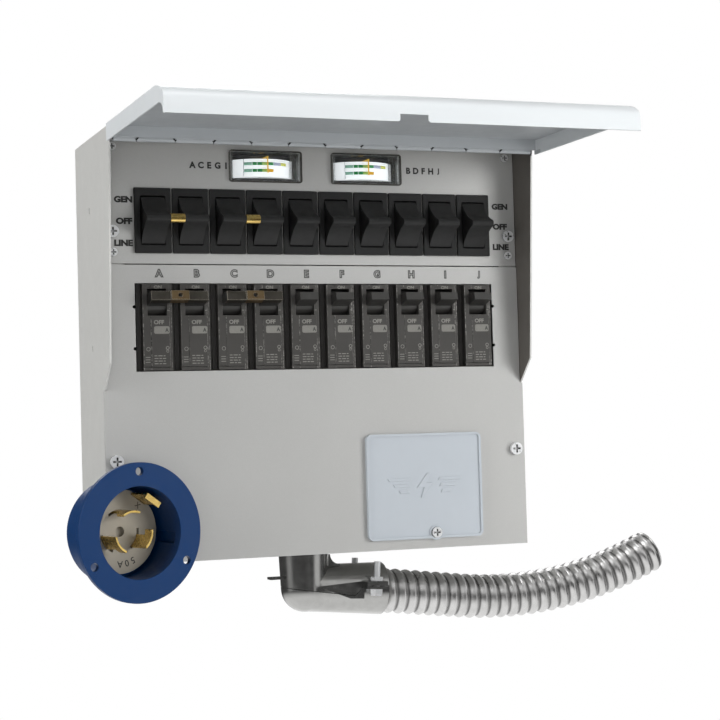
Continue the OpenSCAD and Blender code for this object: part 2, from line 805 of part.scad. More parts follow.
module elbow_whole() {
    top = floor_z - sheet - touch;
    difference() {
        union() {
            translate([elbow_x, elbow_y, corner_z])
                cylinder(r1 = corner_r, r2 = elbow_r, h = top - corner_z, $fn = round_fn);
            rod_z(hub_thread_r, elbow_x, elbow_y, -top_z - 2, hub_top);
            translate([elbow_x, elbow_y, corner_z]) sphere(corner_r - run_gap, $fn = round_fn);
            elbow_rib();
            elbow_facet();
            at_mouth() {
                translate([-mouth_out, 0, 0]) rotate([0, 90, 0])
                    cylinder(r1 = corner_r - 0.4, r2 = mouth_r, h = mouth_out + clamp_len, $fn = round_fn);
                block([clamp_at - ear[0] / 2 - 1, clamp_at + ear[0] / 2 - 1],
                    [-clamp_half - ear[1] / 2, clamp_half + ear[1] / 2],
                    [clamp_z - saddle_gap - saddle_ear, clamp_z + saddle_gap + ear[2]]);
            }
        }
        rod_z(elbow_bore, elbow_x, elbow_y, corner_z, hub_top + cut);
        translate([elbow_x, elbow_y, corner_z]) sphere(elbow_bore - bore_step, $fn = round_fn);
        at_mouth() {
            rod_x(elbow_bore - bore_step / 2, -mouth_out, clamp_len + cut, 0, 0);
            for (s = [-1, 1])
                rod_z(clamp_screw_r + touch, clamp_at, s * clamp_half, clamp_z - 6, clamp_z + 6);
        }
        at_conduit() rod_x(flex_r + touch, flex_start - touch, clamp_len + 4 * cut, 0, 0);
    }
}

// Everything below the joint between the two castings, which dips past the corner and then
// steps up to the clamp; side is 1 for the joint's upper face and -1 for its lower one
module below_joint(side) {
    far = 60;
    bend = [-35, 0.5];
    low = [13, -4];
    step = 21;
    gap = side * saddle_gap;
    at_mouth() along_y(-far, far)
        polygon([[-far, -far], [far, -far], [far, clamp_z + gap], [step, clamp_z + gap],
            [low[0], low[1] + gap], [bend[0], bend[1] + gap], [-far, bend[1] + gap]]);
}

module elbow_body() {
    color(die_cast) {
        difference() {
            elbow_whole();
            below_joint(1);
        }
        block([elbow_x - elbow_r - tongue, elbow_x - corner_r + 2], [elbow_y - 4, elbow_y + 4],
            [corner_z + 7, corner_z + 8.6]);
    }
}

module elbow_saddle() {
    color([0.7, 0.71, 0.71]) intersection() {
        elbow_whole();
        below_joint(-1);
    }
}

module elbow_clamp_screws() {
    head = 4.6;
    top = clamp_z - saddle_gap - saddle_ear - touch;
    color(zinc) at_mouth() for (s = [-1, 1]) {
        rod_z(clamp_screw_r, clamp_at, s * clamp_half, top - cut, clamp_shank_z);
        difference() {
            rod_z(2 * clamp_screw_r, clamp_at, s * clamp_half, top - head, top, 6);
            block([clamp_at - 5, clamp_at + 5], [s * clamp_half - 0.5, s * clamp_half + 0.5],
                [top - head - cut, top - head + 1.1]);
        }
    }
}

module elbow_clamp_nuts() {
    nut = 2.7;
    low = clamp_z + saddle_gap + ear[2] + touch;
    color(zinc) at_mouth() for (s = [-1, 1]) difference() {
        rod_z(4.6, clamp_at, s * clamp_half, low, low + nut, 6);
        rod_z(clamp_screw_r + run_gap, clamp_at, s * clamp_half, low - cut, low + nut + cut);
    }
}

module elbow_locknut() {
    ring_r = 20;
    tooth = [5, 6];
    thick = 4 - touch;
    color(die_cast) difference() {
        translate([elbow_x, elbow_y, floor_z + touch]) {
            cylinder(r = ring_r, h = thick, $fn = round_fn);
            for (a = [0 : 45 : 315])
                rotate([0, 0, a]) translate([ring_r - 2, -tooth[1] / 2, 0])
                    cube([tooth[0], tooth[1], thick]);
        }
        rod_z(hub_thread_r + run_gap, elbow_x, elbow_y, -top_z, hub_top);
    }
}

// Sweep a round section along the conduit: straight, then bending upwards
module conduit_path(r, from, to_arc, off = [0, 0]) {
    at_conduit() {
        translate([0, off[0], off[1]]) rod_x(r, from, flex_straight, 0, 0);
        translate([flex_straight, 0, flex_bend]) rotate([90, 0, 0]) rotate([0, 0, -90])
            rotate_extrude(angle = to_arc, $fn = 360)
                translate([flex_bend - off[1], -off[0]]) circle(r, $fn = round_fn);
    }
}

module flex_conduit() {
    color([0.66, 0.67, 0.68]) difference() {
        conduit_path(flex_r, flex_start, flex_arc);
        conduit_path(flex_r - flex_wall, flex_start - cut, flex_arc + 0.5);
    }
}

wire_spots = [[-4.2, -2.4], [4.2, -2.4], [0, 4.8]];
wire_r = 3;

module conduit_wires() {
    color([0.12, 0.12, 0.12]) for (p = wire_spots)
        conduit_path(wire_r, flex_start + 6, flex_arc - 1, p);
}

// ---- inlet ----

// Frame of the inlet: origin at the middle of the flange's front, Y into the can
module at_inlet() {
    translate(inlet_at) rotate([0, 0, inlet_turn]) children();
}

module inlet_shell() {
    inner_back = inlet_can_len - inlet_can_wall;
    keyway = [-8, -1];
    cable_r = 9;
    color(inlet_blue) at_inlet() difference() {
        union() {
            rod_y(inlet_r, 0, 0, inlet_rim, 0);
            rod_y(inlet_can_r, 0, inlet_rim - cut, inlet_can_len, 0);
        }
        rod_y(inlet_mouth_r, 0, -cut, inner_back, 0);
        block([inlet_mouth_r - 2, inlet_mouth_r + 1.2], [7, inner_back], keyway);
        for (a = inlet_hole_turns)
            rod_y(inlet_hole_r, inlet_hole_pcd / 2 * cos(a), -cut, inlet_rim + cut,
                inlet_hole_pcd / 2 * sin(a));
        rod_y(cable_r, 0, inner_back - 3, inlet_can_len + cut, 0);
    }
}

face_back = inlet_can_len - inlet_can_wall - touch;
slot_deep = 4;                         // depth of the blades' seats in the insulator
blade_mid_r = 13;
blade_turns = [97, 217, 337];
blade_len = 18;
blade_thick = 1.5;
hook_len = 8;                          // length of the wide hook at each blade's tip

module inlet_insulator() {
    color(beige) at_inlet() difference() {
        union() {
            rod_y(26.5, 0, inlet_recess, face_back, 0);
            block([-inlet_mouth_r + 0.4, -20], [inlet_recess, face_back], [-4, 4]);
        }
        rod_y(3.2, 0, inlet_recess - cut, inlet_recess + slot_deep, 0);
        for (a = blade_turns)
            blade_arc(a, 30, blade_thick + 0.2, inlet_recess - cut, inlet_recess + slot_deep);
        ground_slot();
    }
}

// Curved plate about the inlet's axis, between depths a and b
module blade_arc(turn, half_angle, thick, a, b) {
    translate([0, b, 0]) rotate([90, 0, 0]) rotate([0, 0, turn - half_angle])
        rotate_extrude(angle = 2 * half_angle, $fn = round_fn)
            translate([blade_mid_r - thick / 2, 0]) square([thick, b - a]);
}

module inlet_blades() {
    color(brass) at_inlet() for (a = blade_turns) {
        blade_arc(a - 8, 20, blade_thick, inlet_recess - blade_len + hook_len - 0.5,
            inlet_recess + slot_deep - touch);
        blade_arc(a, 28, blade_thick, inlet_recess - blade_len, inlet_recess - blade_len + hook_len);
    }
}

ground_turn = 55;
ground_r = 24.6;
ground_half = 6;
ground_len = 19;

module ground_slot() {
    rotate([0, -ground_turn, 0])
        block([ground_r - 1, ground_r + 5], [inlet_recess - cut, inlet_recess + slot_deep],
            [-ground_half - 0.3, ground_half + 0.3]);
}

// Flat blade with a bent tip
module inlet_ground_blade() {
    thick = 1.6;
    tip = inlet_recess - ground_len;
    color(brass) at_inlet() rotate([0, -ground_turn, 0]) {
        block([ground_r - thick / 2, ground_r + thick / 2], [tip, inlet_recess + slot_deep - 0.2],
            [-ground_half, ground_half]);
        block([ground_r - 3, ground_r], [tip, tip + 1.4], [-ground_half, ground_half]);
    }
}

// Angled collar that carries the inlet off the lower cover's corner
module inlet_collar() {
    collar_r = inlet_can_r - 1.5;
    wall = 3;
    foot = [4, 2.4];
    color(inlet_blue) difference() {
        union() {
            at_inlet() rod_y(collar_r, 0, inlet_can_len + touch, inlet_can_len + wall, 0);
            intersection() {
                rod_y(nipple_r, nipple[0], cover_y - 40, cover_y + nipple_back, nipple[1]);
                at_inlet() block([-60, 60], [inlet_can_len + 1, 90], [-60, 60]);
            }
            rod_y(nipple_r + foot[0], nipple[0], cover_y - foot[1], cover_y - touch, nipple[1]);
        }
        rod_y(nipple_r - wall, nipple[0], cover_y - 30, cover_y + nipple_back + cut, nipple[1]);
    }
}

// ---- inside ----

// Bar with a row of screws, on a foot at each end
module neutral_bar() {
    z = [-117, -107];
    mid_z = (z[0] + z[1]) / 2;
    bar_half = 55;
    bar_y = [-16, -6];
    screw_pitch = 11;
    screw_r = 2;
    color(zinc) {
        difference() {
            block([-bar_half, bar_half], bar_y, z);
            for (i = [-4 : 4])
                rod_y(screw_r + touch, i * screw_pitch, bar_y[0] - cut, bar_y[1] - 2, mid_z);
        }
        for (i = [-4 : 4])
            rod_y(screw_r, i * screw_pitch, bar_y[0] - 2.5, bar_y[1] - 2.2, mid_z);
        for (s = [-1, 1])
            block([s * (bar_half + 3) - 7, s * (bar_half + 3) + 7], [bar_y[1] - 1, -sheet - touch], z);
    }
}

module wire_harness() {
    back = panel_y + housing_depth + 4;
    harness_r = 1.8;
    color([0.1, 0.1, 0.1]) for (x = row_x) {
        rod_z(harness_r, x + 3, back, case_z[1] + touch, switch_z - 5);
        rod_z(harness_r, x - 3, back, case_z[1] + touch, switch_z + 10);
    }
}

enclosure_box();
upper_panel();
lower_cover();
lid();
hinge_pin();
cover_plate();
cover_plate_screw();
lower_cover_screws();
panel_screws();
panel_small_screws();
switch_housings();
switch_terminals();
rocker_a();
rocker_b();
rocker_c();
rocker_d();
rocker_e();
rocker_f();
rocker_g();
rocker_h();
rocker_i();
rocker_j();
rocker_tie_ab();
rocker_tie_cd();
breaker_cases();
breaker_terminal_screws();
breaker_base();
bus_bar();
breaker_handle_a();
breaker_handle_b();
breaker_handle_c();
breaker_handle_d();
breaker_handle_e();
breaker_handle_f();
breaker_handle_g();
breaker_handle_h();
breaker_handle_i();
breaker_handle_j();
handle_tie_ab();
handle_tie_cd();
meter_cases();
meter_lenses();
meter_dials();
meter_needle_left();
meter_needle_right();
elbow_body();
elbow_saddle();
elbow_clamp_screws();
elbow_clamp_nuts();
elbow_locknut();
flex_conduit();
conduit_wires();
inlet_shell();
inlet_insulator();
inlet_blades();
inlet_ground_blade();
inlet_collar();
neutral_bar();
wire_harness();
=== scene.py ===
"""Manual transfer switch: looks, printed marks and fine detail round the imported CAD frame.

Lengths in this script are millimetres in the CAD's own frame until they reach Blender, which
works in metres: X to the right, the front looks along -Y, Z up, origin on the wall.
"""
import json
import math

import bmesh
import bpy
from mathutils import Matrix, Vector


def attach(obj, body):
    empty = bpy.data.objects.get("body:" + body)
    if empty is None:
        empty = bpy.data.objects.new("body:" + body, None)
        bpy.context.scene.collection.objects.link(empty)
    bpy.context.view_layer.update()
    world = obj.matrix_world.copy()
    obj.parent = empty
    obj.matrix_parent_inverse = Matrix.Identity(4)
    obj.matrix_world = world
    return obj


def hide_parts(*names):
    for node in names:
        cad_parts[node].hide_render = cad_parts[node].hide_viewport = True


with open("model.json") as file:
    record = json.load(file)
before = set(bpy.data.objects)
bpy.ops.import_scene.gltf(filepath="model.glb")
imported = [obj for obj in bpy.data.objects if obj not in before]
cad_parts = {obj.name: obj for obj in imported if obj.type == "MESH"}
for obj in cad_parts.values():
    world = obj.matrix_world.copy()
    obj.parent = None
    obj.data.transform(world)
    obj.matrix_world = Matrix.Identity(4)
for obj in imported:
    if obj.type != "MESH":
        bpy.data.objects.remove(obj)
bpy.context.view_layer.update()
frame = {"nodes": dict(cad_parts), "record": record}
nodes = frame["nodes"]
MM = 0.001

# ---- sizes shared with the CAD ----

PITCH = 25.4
ROW_X = [PITCH * (i - 4.5) for i in range(10)]
BREAKER_X = [x + 1.4 for x in ROW_X]
CIRCUITS = "ABCDEFGHIJ"
BOX_HALF = 148.5
PANEL_Y = -74.0
COVER_Y = -75.0
BREAKER_FRONT_Y = -76.0
SEAM_X = -4.3                           # left and right edges of a breaker's raised label field
FIELD_RIGHT = 8.1
METER_X = 36.0
METER_Z = 119.7
METER_PIVOT_Y = -49.0
DIAL_R = 28.0
INLET_AT = Vector((-138.5, -123.0, -117.2))
INLET_TURN = math.radians(17)
INLET_RECESS = 26.0
INK = 0.08                              # thickness of printed marks
LID_HALF = 150.5
HINGE_Y = -103.6
HINGE_LOW_Z = 128.0                     # the hinge's leaves and knuckles lie above this
LEAF_TOP_Z = 131.1                      # top of the lid's leaf
KNUCKLE_TOP_Z = 133.1
LENS_HALF_X = 24.6                      # the lens's clear window; outside it lies its rim, painted dark as painted reflection
LENS_HALF_Z = 9.8


# ---- materials ----

def srgb(r, g, b):
    """The linear colour of an 8-bit display colour."""
    def linear(v):
        v = v / 255
        return v / 12.92 if v <= 0.04045 else ((v + 0.055) / 1.055) ** 2.4
    return (linear(r), linear(g), linear(b), 1.0)


def scaled(colour, factor):
    return tuple(min(1.0, c * factor) for c in colour[:3]) + (1.0,)


# Darker, duller grey for the inner faces of the box's wings
WING_INSIDE_GREY = srgb(84, 80, 75)
# Grey standing in for paint in shade: painted shade on the lid's inside and on the hinge
PAINTED_SHADE_GREY = srgb(166, 170, 173)
SHADOW = srgb(20, 20, 20)


class Shader:
    """A node material being built. Textures are in millimetres of the object's own frame."""

    def __init__(self, name):
        self.material = bpy.data.materials.new(name)
        self.material.use_nodes = True
        self.tree = self.material.node_tree
        self.tree.nodes.clear()
        self.output = self.node("ShaderNodeOutputMaterial")
        self.bsdf = self.node("ShaderNodeBsdfPrincipled")
        self.tree.links.new(self.bsdf.outputs[0], self.output.inputs["Surface"])
        self.place = self.node("ShaderNodeTexCoord").outputs["Object"]

    def node(self, kind, **settings):
        made = self.tree.nodes.new(kind)
        for key, value in settings.items():
            setattr(made, key, value)
        return made

    def feed(self, socket, value):
        if isinstance(value, bpy.types.NodeSocket):
            self.tree.links.new(value, socket)
        else:
            socket.default_value = value

    def base(self):
        """What feeds the base colour so far."""
        return self.bsdf.inputs["Base Color"].links[0].from_socket

    def set(self, name, value):
        self.feed(self.bsdf.inputs[name], value)

    def noise(self, size, detail=2.0, stretch=(1, 1, 1), rough=0.5):
        """Noise whose features are about size millimetres across."""
        where = self.node("ShaderNodeMapping")
        self.feed(where.inputs["Vector"], self.place)
        where.inputs["Scale"].default_value = [1 / (size * MM * s) for s in stretch]
        made = self.node("ShaderNodeTexNoise")
        self.feed(made.inputs["Vector"], where.outputs[0])
        made.inputs["Scale"].default_value = 1.0
        made.inputs["Detail"].default_value = detail
        made.inputs["Roughness"].default_value = rough
        return made.outputs["Fac"]

    def spread(self, value, low, high, from_low=0.3, from_high=0.7):
        """Stretches from_low..from_high to low..high, and holds the ends."""
        made = self.node("ShaderNodeMapRange")
        self.feed(made.inputs["Value"], value)
        for name, number in (("From Min", from_low), ("From Max", from_high),
                             ("To Min", low), ("To Max", high)):
            made.inputs[name].default_value = number
        return made.outputs[0]

    def math(self, operation, a, b=0.0):
        made = self.node("ShaderNodeMath", operation=operation)
        self.feed(made.inputs[0], a)
        self.feed(made.inputs[1], b)
        return made.outputs[0]

    def mix(self, factor, a, b):
        """Colour a where factor is 0, colour b where it is 1."""
        made = self.node("ShaderNodeMix", data_type="RGBA")
        factor_socket, first_colour, second_colour, colour_out = 0, 6, 7, 2
        self.feed(made.inputs[factor_socket], factor)
        self.feed(made.inputs[first_colour], a)
        self.feed(made.inputs[second_colour], b)
        return made.outputs[colour_out]

    def axis(self, letter):
        """One coordinate of the place, in metres."""
        made = self.node("ShaderNodeSeparateXYZ")
        self.feed(made.inputs[0], self.place)
        return made.outputs[letter]

    def edges(self, width):
        """1 along convex and concave edges, 0 on flat ground."""
        rounded = self.node("ShaderNodeBevel", samples=4)
        rounded.inputs["Radius"].default_value = width * MM
        flat = self.node("ShaderNodeNewGeometry")
        dot = self.node("ShaderNodeVectorMath", operation="DOT_PRODUCT")
        self.feed(dot.inputs[0], rounded.outputs[0])
        self.feed(dot.inputs[1], flat.outputs["Normal"])
        return self.spread(dot.outputs["Value"], 1.0, 0.0, 0.8, 0.99)

    def facing(self, letter):
        """One part of the surface's direction in the object's own frame."""
        made = self.node("ShaderNodeSeparateXYZ")
        self.feed(made.inputs[0], self.node("ShaderNodeTexCoord").outputs["Normal"])
        return made.outputs[letter]

    def all_of(self, *tests):
        """1 where every test is 1."""
        result = tests[0]
        for test in tests[1:]:
            result = self.math("MULTIPLY", result, test)
        return result

    def any_of(self, *tests):
        """1 where some test is 1."""
        result = tests[0]
        for test in tests[1:]:
            result = self.math("MAXIMUM", result, test)
        return result

    def soft_edge(self, width):
        """Normal rounded over sharp edges."""
        made = self.node("ShaderNodeBevel", samples=4)
        made.inputs["Radius"].default_value = width * MM
        return made.outputs[0]

    def bump(self, height, depth, strength=1.0, after=None):
        """Surface direction for a height from 0 to 1 that is depth millimetres deep."""
        made = self.node("ShaderNodeBump")
        made.inputs["Strength"].default_value = strength
        made.inputs["Distance"].default_value = depth * MM
        self.feed(made.inputs["Height"], height)
        if after is not None:
            self.feed(made.inputs["Normal"], after)
        return made.outputs[0]


def below(s, value, limit):
    return s.math("LESS_THAN", value, limit)


def above(s, value, limit):
    return s.math("GREATER_THAN", value, limit)


def coated(name, colour, rough, mottle=0.03, peel=0.9, peel_depth=0.02, wear=None, fleck=0.0, metal=0.0):
    """Powder coat or paint: a faint mottle, orange peel and lightly worn edges."""
    s = Shader(name)
    base = s.mix(s.noise(45, 3), scaled(colour, 1 - mottle), scaled(colour, 1 + mottle))
    grain = s.noise(0.35, 2)
    if fleck:
        base = s.mix(s.spread(grain, 0.0, fleck, 0.45, 0.75), base, scaled(colour, 1.5))
    if wear is not None:
        worn = s.math("MULTIPLY", s.edges(0.5), s.spread(s.noise(6, 4), 0.0, 0.8, 0.35, 0.65))
        base = s.mix(worn, base, wear)
    s.set("Base Color", base)
    s.set("Metallic", metal)
    s.set("Roughness", s.spread(s.noise(8, 3), rough - 0.04, rough + 0.05))
    s.set("Normal", s.bump(s.noise(peel, 2), peel_depth, 0.5, s.soft_edge(0.4)))
    return s


def moulded(name, colour, rough, grain=0.5, depth=0.03, mottle=0.06, edge=0.35, rub_and_highlight=2.4):
    """Moulded plastic: fine spark-eroded grain, uneven gloss and lighter edges, partly wear from rubbing
    and partly painted edge highlight.
    """
    s = Shader(name)
    base = s.mix(s.noise(12, 3), scaled(colour, 1 - mottle), scaled(colour, 1 + mottle))
    # Lighter edges: partly wear from rubbing, partly painted edge highlight
    rubbed_and_highlit = s.math("MULTIPLY", s.edges(0.35), s.spread(s.noise(4, 3), 0.2, 1.0))
    base = s.mix(s.math("MULTIPLY", rubbed_and_highlit, edge), base, scaled(colour, rub_and_highlight))
    s.set("Base Color", base)
    s.set("Roughness", s.spread(s.noise(5, 4), rough - 0.07, rough + 0.08))
    s.set("Normal", s.bump(s.noise(grain, 3), depth, 0.5))
    return s


def metal(name, colour, rough, streak=(1, 1, 1), tarnish=None, scratch=0.015, spread=0.12, amount=0.7):
    """Bare or plated metal: directional scratches, patchy tarnish and uneven gloss."""
    s = Shader(name)
    lines = s.noise(0.5, 4, streak, 0.65)
    base = s.mix(lines, scaled(colour, 0.86), scaled(colour, 1.08))
    if tarnish is not None:
        base = s.mix(s.spread(s.noise(7, 5), 0.0, amount, 0.42, 0.66), base, tarnish)
    s.set("Base Color", base)
    s.set("Metallic", 1.0)
    s.set("Roughness", s.spread(s.noise(3, 5, streak), rough - spread / 2, rough + spread))
    s.set("Normal", s.bump(lines, scratch, 0.6))
    return s


def clear_plastic(name):
    """Thin clear moulding: see-through, with bright reflections at grazing angles, and painted reflections
    in colour: dark and bright streaks on its edges and a dark rim.
    """
    s = Shader(name)
    clear = s.node("ShaderNodeBsdfTransparent")
    clear.inputs[0].default_value = (0.975, 0.985, 0.985, 1)
    shine = s.node("ShaderNodeBsdfGlossy")
    shine.inputs["Roughness"].default_value = 0.05
    s.feed(shine.inputs["Normal"], s.bump(s.noise(6, 2), 0.05, 0.25, s.soft_edge(0.5)))
    facing = s.node("ShaderNodeLayerWeight")
    facing.inputs["Blend"].default_value = 0.25
    first = s.node("ShaderNodeMixShader")
    s.feed(first.inputs[0], s.spread(facing.outputs["Fresnel"], 0.03, 0.6, 0.0, 0.9))
    s.tree.links.new(clear.outputs[0], first.inputs[1])
    s.tree.links.new(shine.outputs[0], first.inputs[2])
    aside = s.math("ABSOLUTE", s.math("SUBTRACT", s.math("ABSOLUTE", s.axis("X")), METER_X * MM))
    aloft = s.math("ABSOLUTE", s.math("SUBTRACT", s.axis("Z"), METER_Z * MM))
    rim = s.any_of(above(s, aside, LENS_HALF_X * MM), above(s, aloft, LENS_HALF_Z * MM))
    # Painted reflections: dark and bright streaks on the edges and a dark rim round the window
    dark = s.spread(s.noise(4, 3), 0.0, 1.0, 0.35, 0.62)
    shade = s.mix(dark, srgb(96, 88, 78), srgb(226, 230, 232))
    s.set("Base Color", s.mix(rim, shade, srgb(70, 66, 60)))
    s.set("Roughness", s.spread(s.noise(2, 3), 0.08, 0.2))
    haze_and_painted_reflection = s.node("ShaderNodeMixShader")
    s.feed(haze_and_painted_reflection.inputs[0], s.any_of(s.spread(s.edges(0.45), 0.0, 0.6, 0.1, 1.0),
                                    s.math("MULTIPLY", rim, 0.6)))
    s.tree.links.new(first.outputs[0], haze_and_painted_reflection.inputs[1])
    s.tree.links.new(s.bsdf.outputs[0], haze_and_painted_reflection.inputs[2])
    s.tree.links.new(haze_and_painted_reflection.outputs[0], s.output.inputs["Surface"])
    return s


def ink(name, colour):
    """Screen-printed ink with slightly uneven cover."""
    s = Shader(name)
    s.set("Base Color", s.mix(s.noise(0.8, 3), scaled(colour, 0.85), scaled(colour, 1.15)))
    s.set("Roughness", s.spread(s.noise(1.5, 2), 0.45, 0.6))
    return s


def make_box_paint():
    s = coated("box_paint", srgb(188, 188, 185), 0.42, wear=srgb(214, 214, 212), fleck=0.10)
    # The inner faces of the box's wings are given a darker, duller grey
    inner_wall = (BOX_HALF - 0.6) * MM
    inside = below(s, s.math("ABSOLUTE", s.axis("X")), inner_wall)
    sideways = above(s, s.math("ABSOLUTE", s.facing("X")), 0.5)
    painted = s.base()
    darker_inside = s.mix(s.noise(6, 4, (1, 1, 4)), WING_INSIDE_GREY, scaled(WING_INSIDE_GREY, 1.25))
    hinge = s.all_of(inside, below(s, s.axis("Y"), (HINGE_Y + 1.8) * MM),
                     above(s, s.axis("Z"), HINGE_LOW_Z * MM), below(s, s.facing("Z"), 0.5))
    # Painted shade on the box's hinge: grey in front of the axis, near black behind it
    hinge_shade = s.mix(above(s, s.axis("Y"), (HINGE_Y - 0.3) * MM), PAINTED_SHADE_GREY, scaled(PAINTED_SHADE_GREY, 0.12))
    s.set("Base Color", s.mix(hinge, s.mix(s.all_of(inside, sideways), painted, darker_inside), hinge_shade))
    return s


def make_lid_paint():
    s = coated("lid_paint", srgb(207, 211, 213), 0.38, 0.015, wear=srgb(240, 242, 243))
    painted = s.base()
    # The lid's inside and its hinge are painted grey: painted shade, the lid's own paint as it looks in
    # shade
    behind = above(s, s.axis("Y"), (HINGE_Y - 10) * MM)
    inner = s.all_of(below(s, s.math("ABSOLUTE", s.axis("X")), (LID_HALF - 0.9) * MM),
                     s.any_of(below(s, s.facing("Z"), -0.3),
                              s.all_of(behind, below(s, s.facing("Y"), -0.3)),
                              s.all_of(behind, below(s, s.axis("Z"), LEAF_TOP_Z * MM))))
    grey = s.mix(s.noise(20, 3), PAINTED_SHADE_GREY, scaled(PAINTED_SHADE_GREY, 1.08))
    # Behind the hinge axis the undersides are painted near black: painted shade
    behind_axis_shade = s.all_of(above(s, s.axis("Y"), (HINGE_Y - 0.3) * MM), below(s, s.axis("Z"), KNUCKLE_TOP_Z * MM),
                    s.any_of(below(s, s.facing("Y"), -0.3), below(s, s.facing("Z"), -0.3)))
    s.set("Base Color", s.mix(behind_axis_shade, s.mix(inner, painted, grey), SHADOW))
    return s


def make_breaker_plastic():
    """Breaker mouldings: dark grey with broken light lines along their long edges: painted edge
    highlights, broken up like wear from rubbing.
    """
    s = moulded("breaker_plastic", (0.046, 0.044, 0.041), 0.42, 0.6, 0.02, 0.14, 0.6, rub_and_highlight=5.0)
    plain = s.base()
    start = (BREAKER_X[0] - PITCH / 2) * MM
    along_row = s.math("FLOORED_MODULO", s.math("SUBTRACT", s.axis("X"), start), PITCH * MM)
    across = s.math("SUBTRACT", along_row, PITCH / 2 * MM)
    line_half = 0.28
    lines = []
    for place in (-9.4, SEAM_X, FIELD_RIGHT, 9.4):
        away = s.math("ABSOLUTE", s.math("SUBTRACT", across, place * MM))
        lines.append(below(s, away, line_half * MM))
    # Painted highlight: light lines along the noses' and label fields' edges, broken up by noise
    rubbed_and_highlit = s.all_of(s.any_of(*lines), below(s, s.axis("Y"), (BREAKER_FRONT_Y + 0.5) * MM),
                      s.spread(s.noise(1.3, 3), 0.0, 0.75, 0.46, 0.60),
                      s.spread(s.noise(14, 2), 0.1, 1.0, 0.40, 0.62))
    s.set("Base Color", s.mix(rubbed_and_highlit, plain, (0.30, 0.29, 0.27, 1)))
    return s


def make_bronze():
    """Handle clips: oxidised almost black over the handles, worn to bronze on the bridge."""
    s = metal("bronze", (0.10, 0.092, 0.078), 0.40, (4, 1, 1), (0.065, 0.058, 0.048, 1))
    dark = s.base()
    bridge_half = 5.9
    bridges = []
    for i in (0, 2):
        middle = (BREAKER_X[i] + BREAKER_X[i + 1]) / 2
        away = s.math("ABSOLUTE", s.math("SUBTRACT", s.axis("X"), middle * MM))
        bridges.append(below(s, away, bridge_half * MM))
    warm = s.mix(s.noise(3, 3), (0.26, 0.185, 0.10, 1), (0.17, 0.12, 0.065, 1))
    shade = s.mix(s.any_of(*bridges), dark, warm)
    s.set("Base Color", s.mix(s.math("MULTIPLY", s.edges(0.7), 0.75), shade, (0.66, 0.60, 0.50, 1)))
    return s


def screw_metal(name, colour, rough, tarnish):
    """Plated metal whose recesses are painted dark: painted shade."""
    s = metal(name, colour, rough, tarnish=tarnish, amount=0.3)
    bright = s.base()
    # Painted shade: ambient occlusion darkens the recesses towards black
    recess_shade = s.node("ShaderNodeAmbientOcclusion", samples=6)
    recess_shade.inputs["Distance"].default_value = 1.6 * MM
    s.set("Base Color", s.mix(s.spread(recess_shade.outputs["AO"], 1.0, 0.0, 0.45, 0.85), bright, SHADOW))
    s.set("Metallic", 0.6)
    return s


def painted_glow(s, strength):
    """Painted light: the surface glows in its own colour, lifting what lies behind the meters' clear
    fronts.
    """
    s.feed(s.bsdf.inputs["Emission Color"], s.base())
    s.set("Emission Strength", strength)
    return s


LOOKS = {
    "box_paint": make_box_paint(),
    "panel_paint": coated("panel_paint", srgb(177, 177, 175), 0.40, 0.02, 0.7, 0.02,
                          srgb(214, 214, 212), 0.16, 0.25),
    "lid_paint": make_lid_paint(),
    "plate_plastic": moulded("plate_plastic", srgb(173, 179, 185), 0.42, 0.7, 0.02, 0.02, 0.1),
    "zinc_steel": metal("zinc_steel", (0.78, 0.79, 0.80), 0.32, tarnish=(0.5, 0.51, 0.52, 1), amount=0.3),
    "screw_steel": screw_metal("screw_steel", (0.94, 0.95, 0.96), 0.30, (0.66, 0.68, 0.7, 1)),
    # Painted shade: the hinge pin is near black where it shows through the hinge's notches
    "pin_steel": metal("pin_steel", (0.06, 0.06, 0.06), 0.5),
    "switch_plastic": moulded("switch_plastic", (0.017, 0.017, 0.017), 0.46, 0.45, 0.03),
    "breaker_plastic": make_breaker_plastic(),
    "handle_plastic": moulded("handle_plastic", (0.032, 0.031, 0.029), 0.36, 0.5, 0.02),
    "brass": metal("brass", (0.83, 0.60, 0.20), 0.24, (4, 1, 1), (0.62, 0.42, 0.13, 1)),
    "bronze": make_bronze(),
    "copper": metal("copper", (0.72, 0.40, 0.24), 0.3, (6, 1, 1), (0.45, 0.24, 0.14, 1)),
    "meter_plastic": moulded("meter_plastic", (0.03, 0.03, 0.03), 0.5),
    "meter_lens": clear_plastic("meter_lens"),
    # Painted light: the dial and the needle glow
    "dial_white": painted_glow(moulded("dial_white", srgb(240, 242, 244), 0.6, 0.3, 0.01, 0.01, 0.0), 0.66),
    "needle_amber": painted_glow(moulded("needle_amber", srgb(226, 178, 70), 0.4, 0.3, 0.01), 0.3),
    "die_cast": metal("die_cast", (0.38, 0.38, 0.37), 0.20, (2, 2, 2), (0.29, 0.29, 0.28, 1), 0.008,
                      0.05, 0.35),
    "flex_metal": metal("flex_metal", (0.56, 0.555, 0.55), 0.30, (1, 1, 5), (0.40, 0.40, 0.39, 1),
                        amount=0.4),
    "wire_black": moulded("wire_black", (0.02, 0.02, 0.02), 0.4, 1.5, 0.02),
    "inlet_blue": moulded("inlet_blue", srgb(3, 45, 90), 0.40, 0.6, 0.03, 0.03, 0.2),
    "insulator_beige": moulded("insulator_beige", srgb(150, 144, 132), 0.5, 0.7, 0.03, 0.04, 0.2),
}
LOOKS["inlet_blue"].set("Specular IOR Level", 0.3)
LOOKS["switch_plastic"].set("Specular IOR Level", 0.3)
LOOKS["zinc_steel"].set("Metallic", 0.75)
INK_BLACK = ink("ink_black", (0.018, 0.018, 0.017, 1))
INK_GREY = ink("ink_grey", srgb(72, 72, 70))
INK_MARK = ink("ink_mark", srgb(126, 125, 120))
INK_LABEL = ink("ink_label", srgb(119, 118, 113))
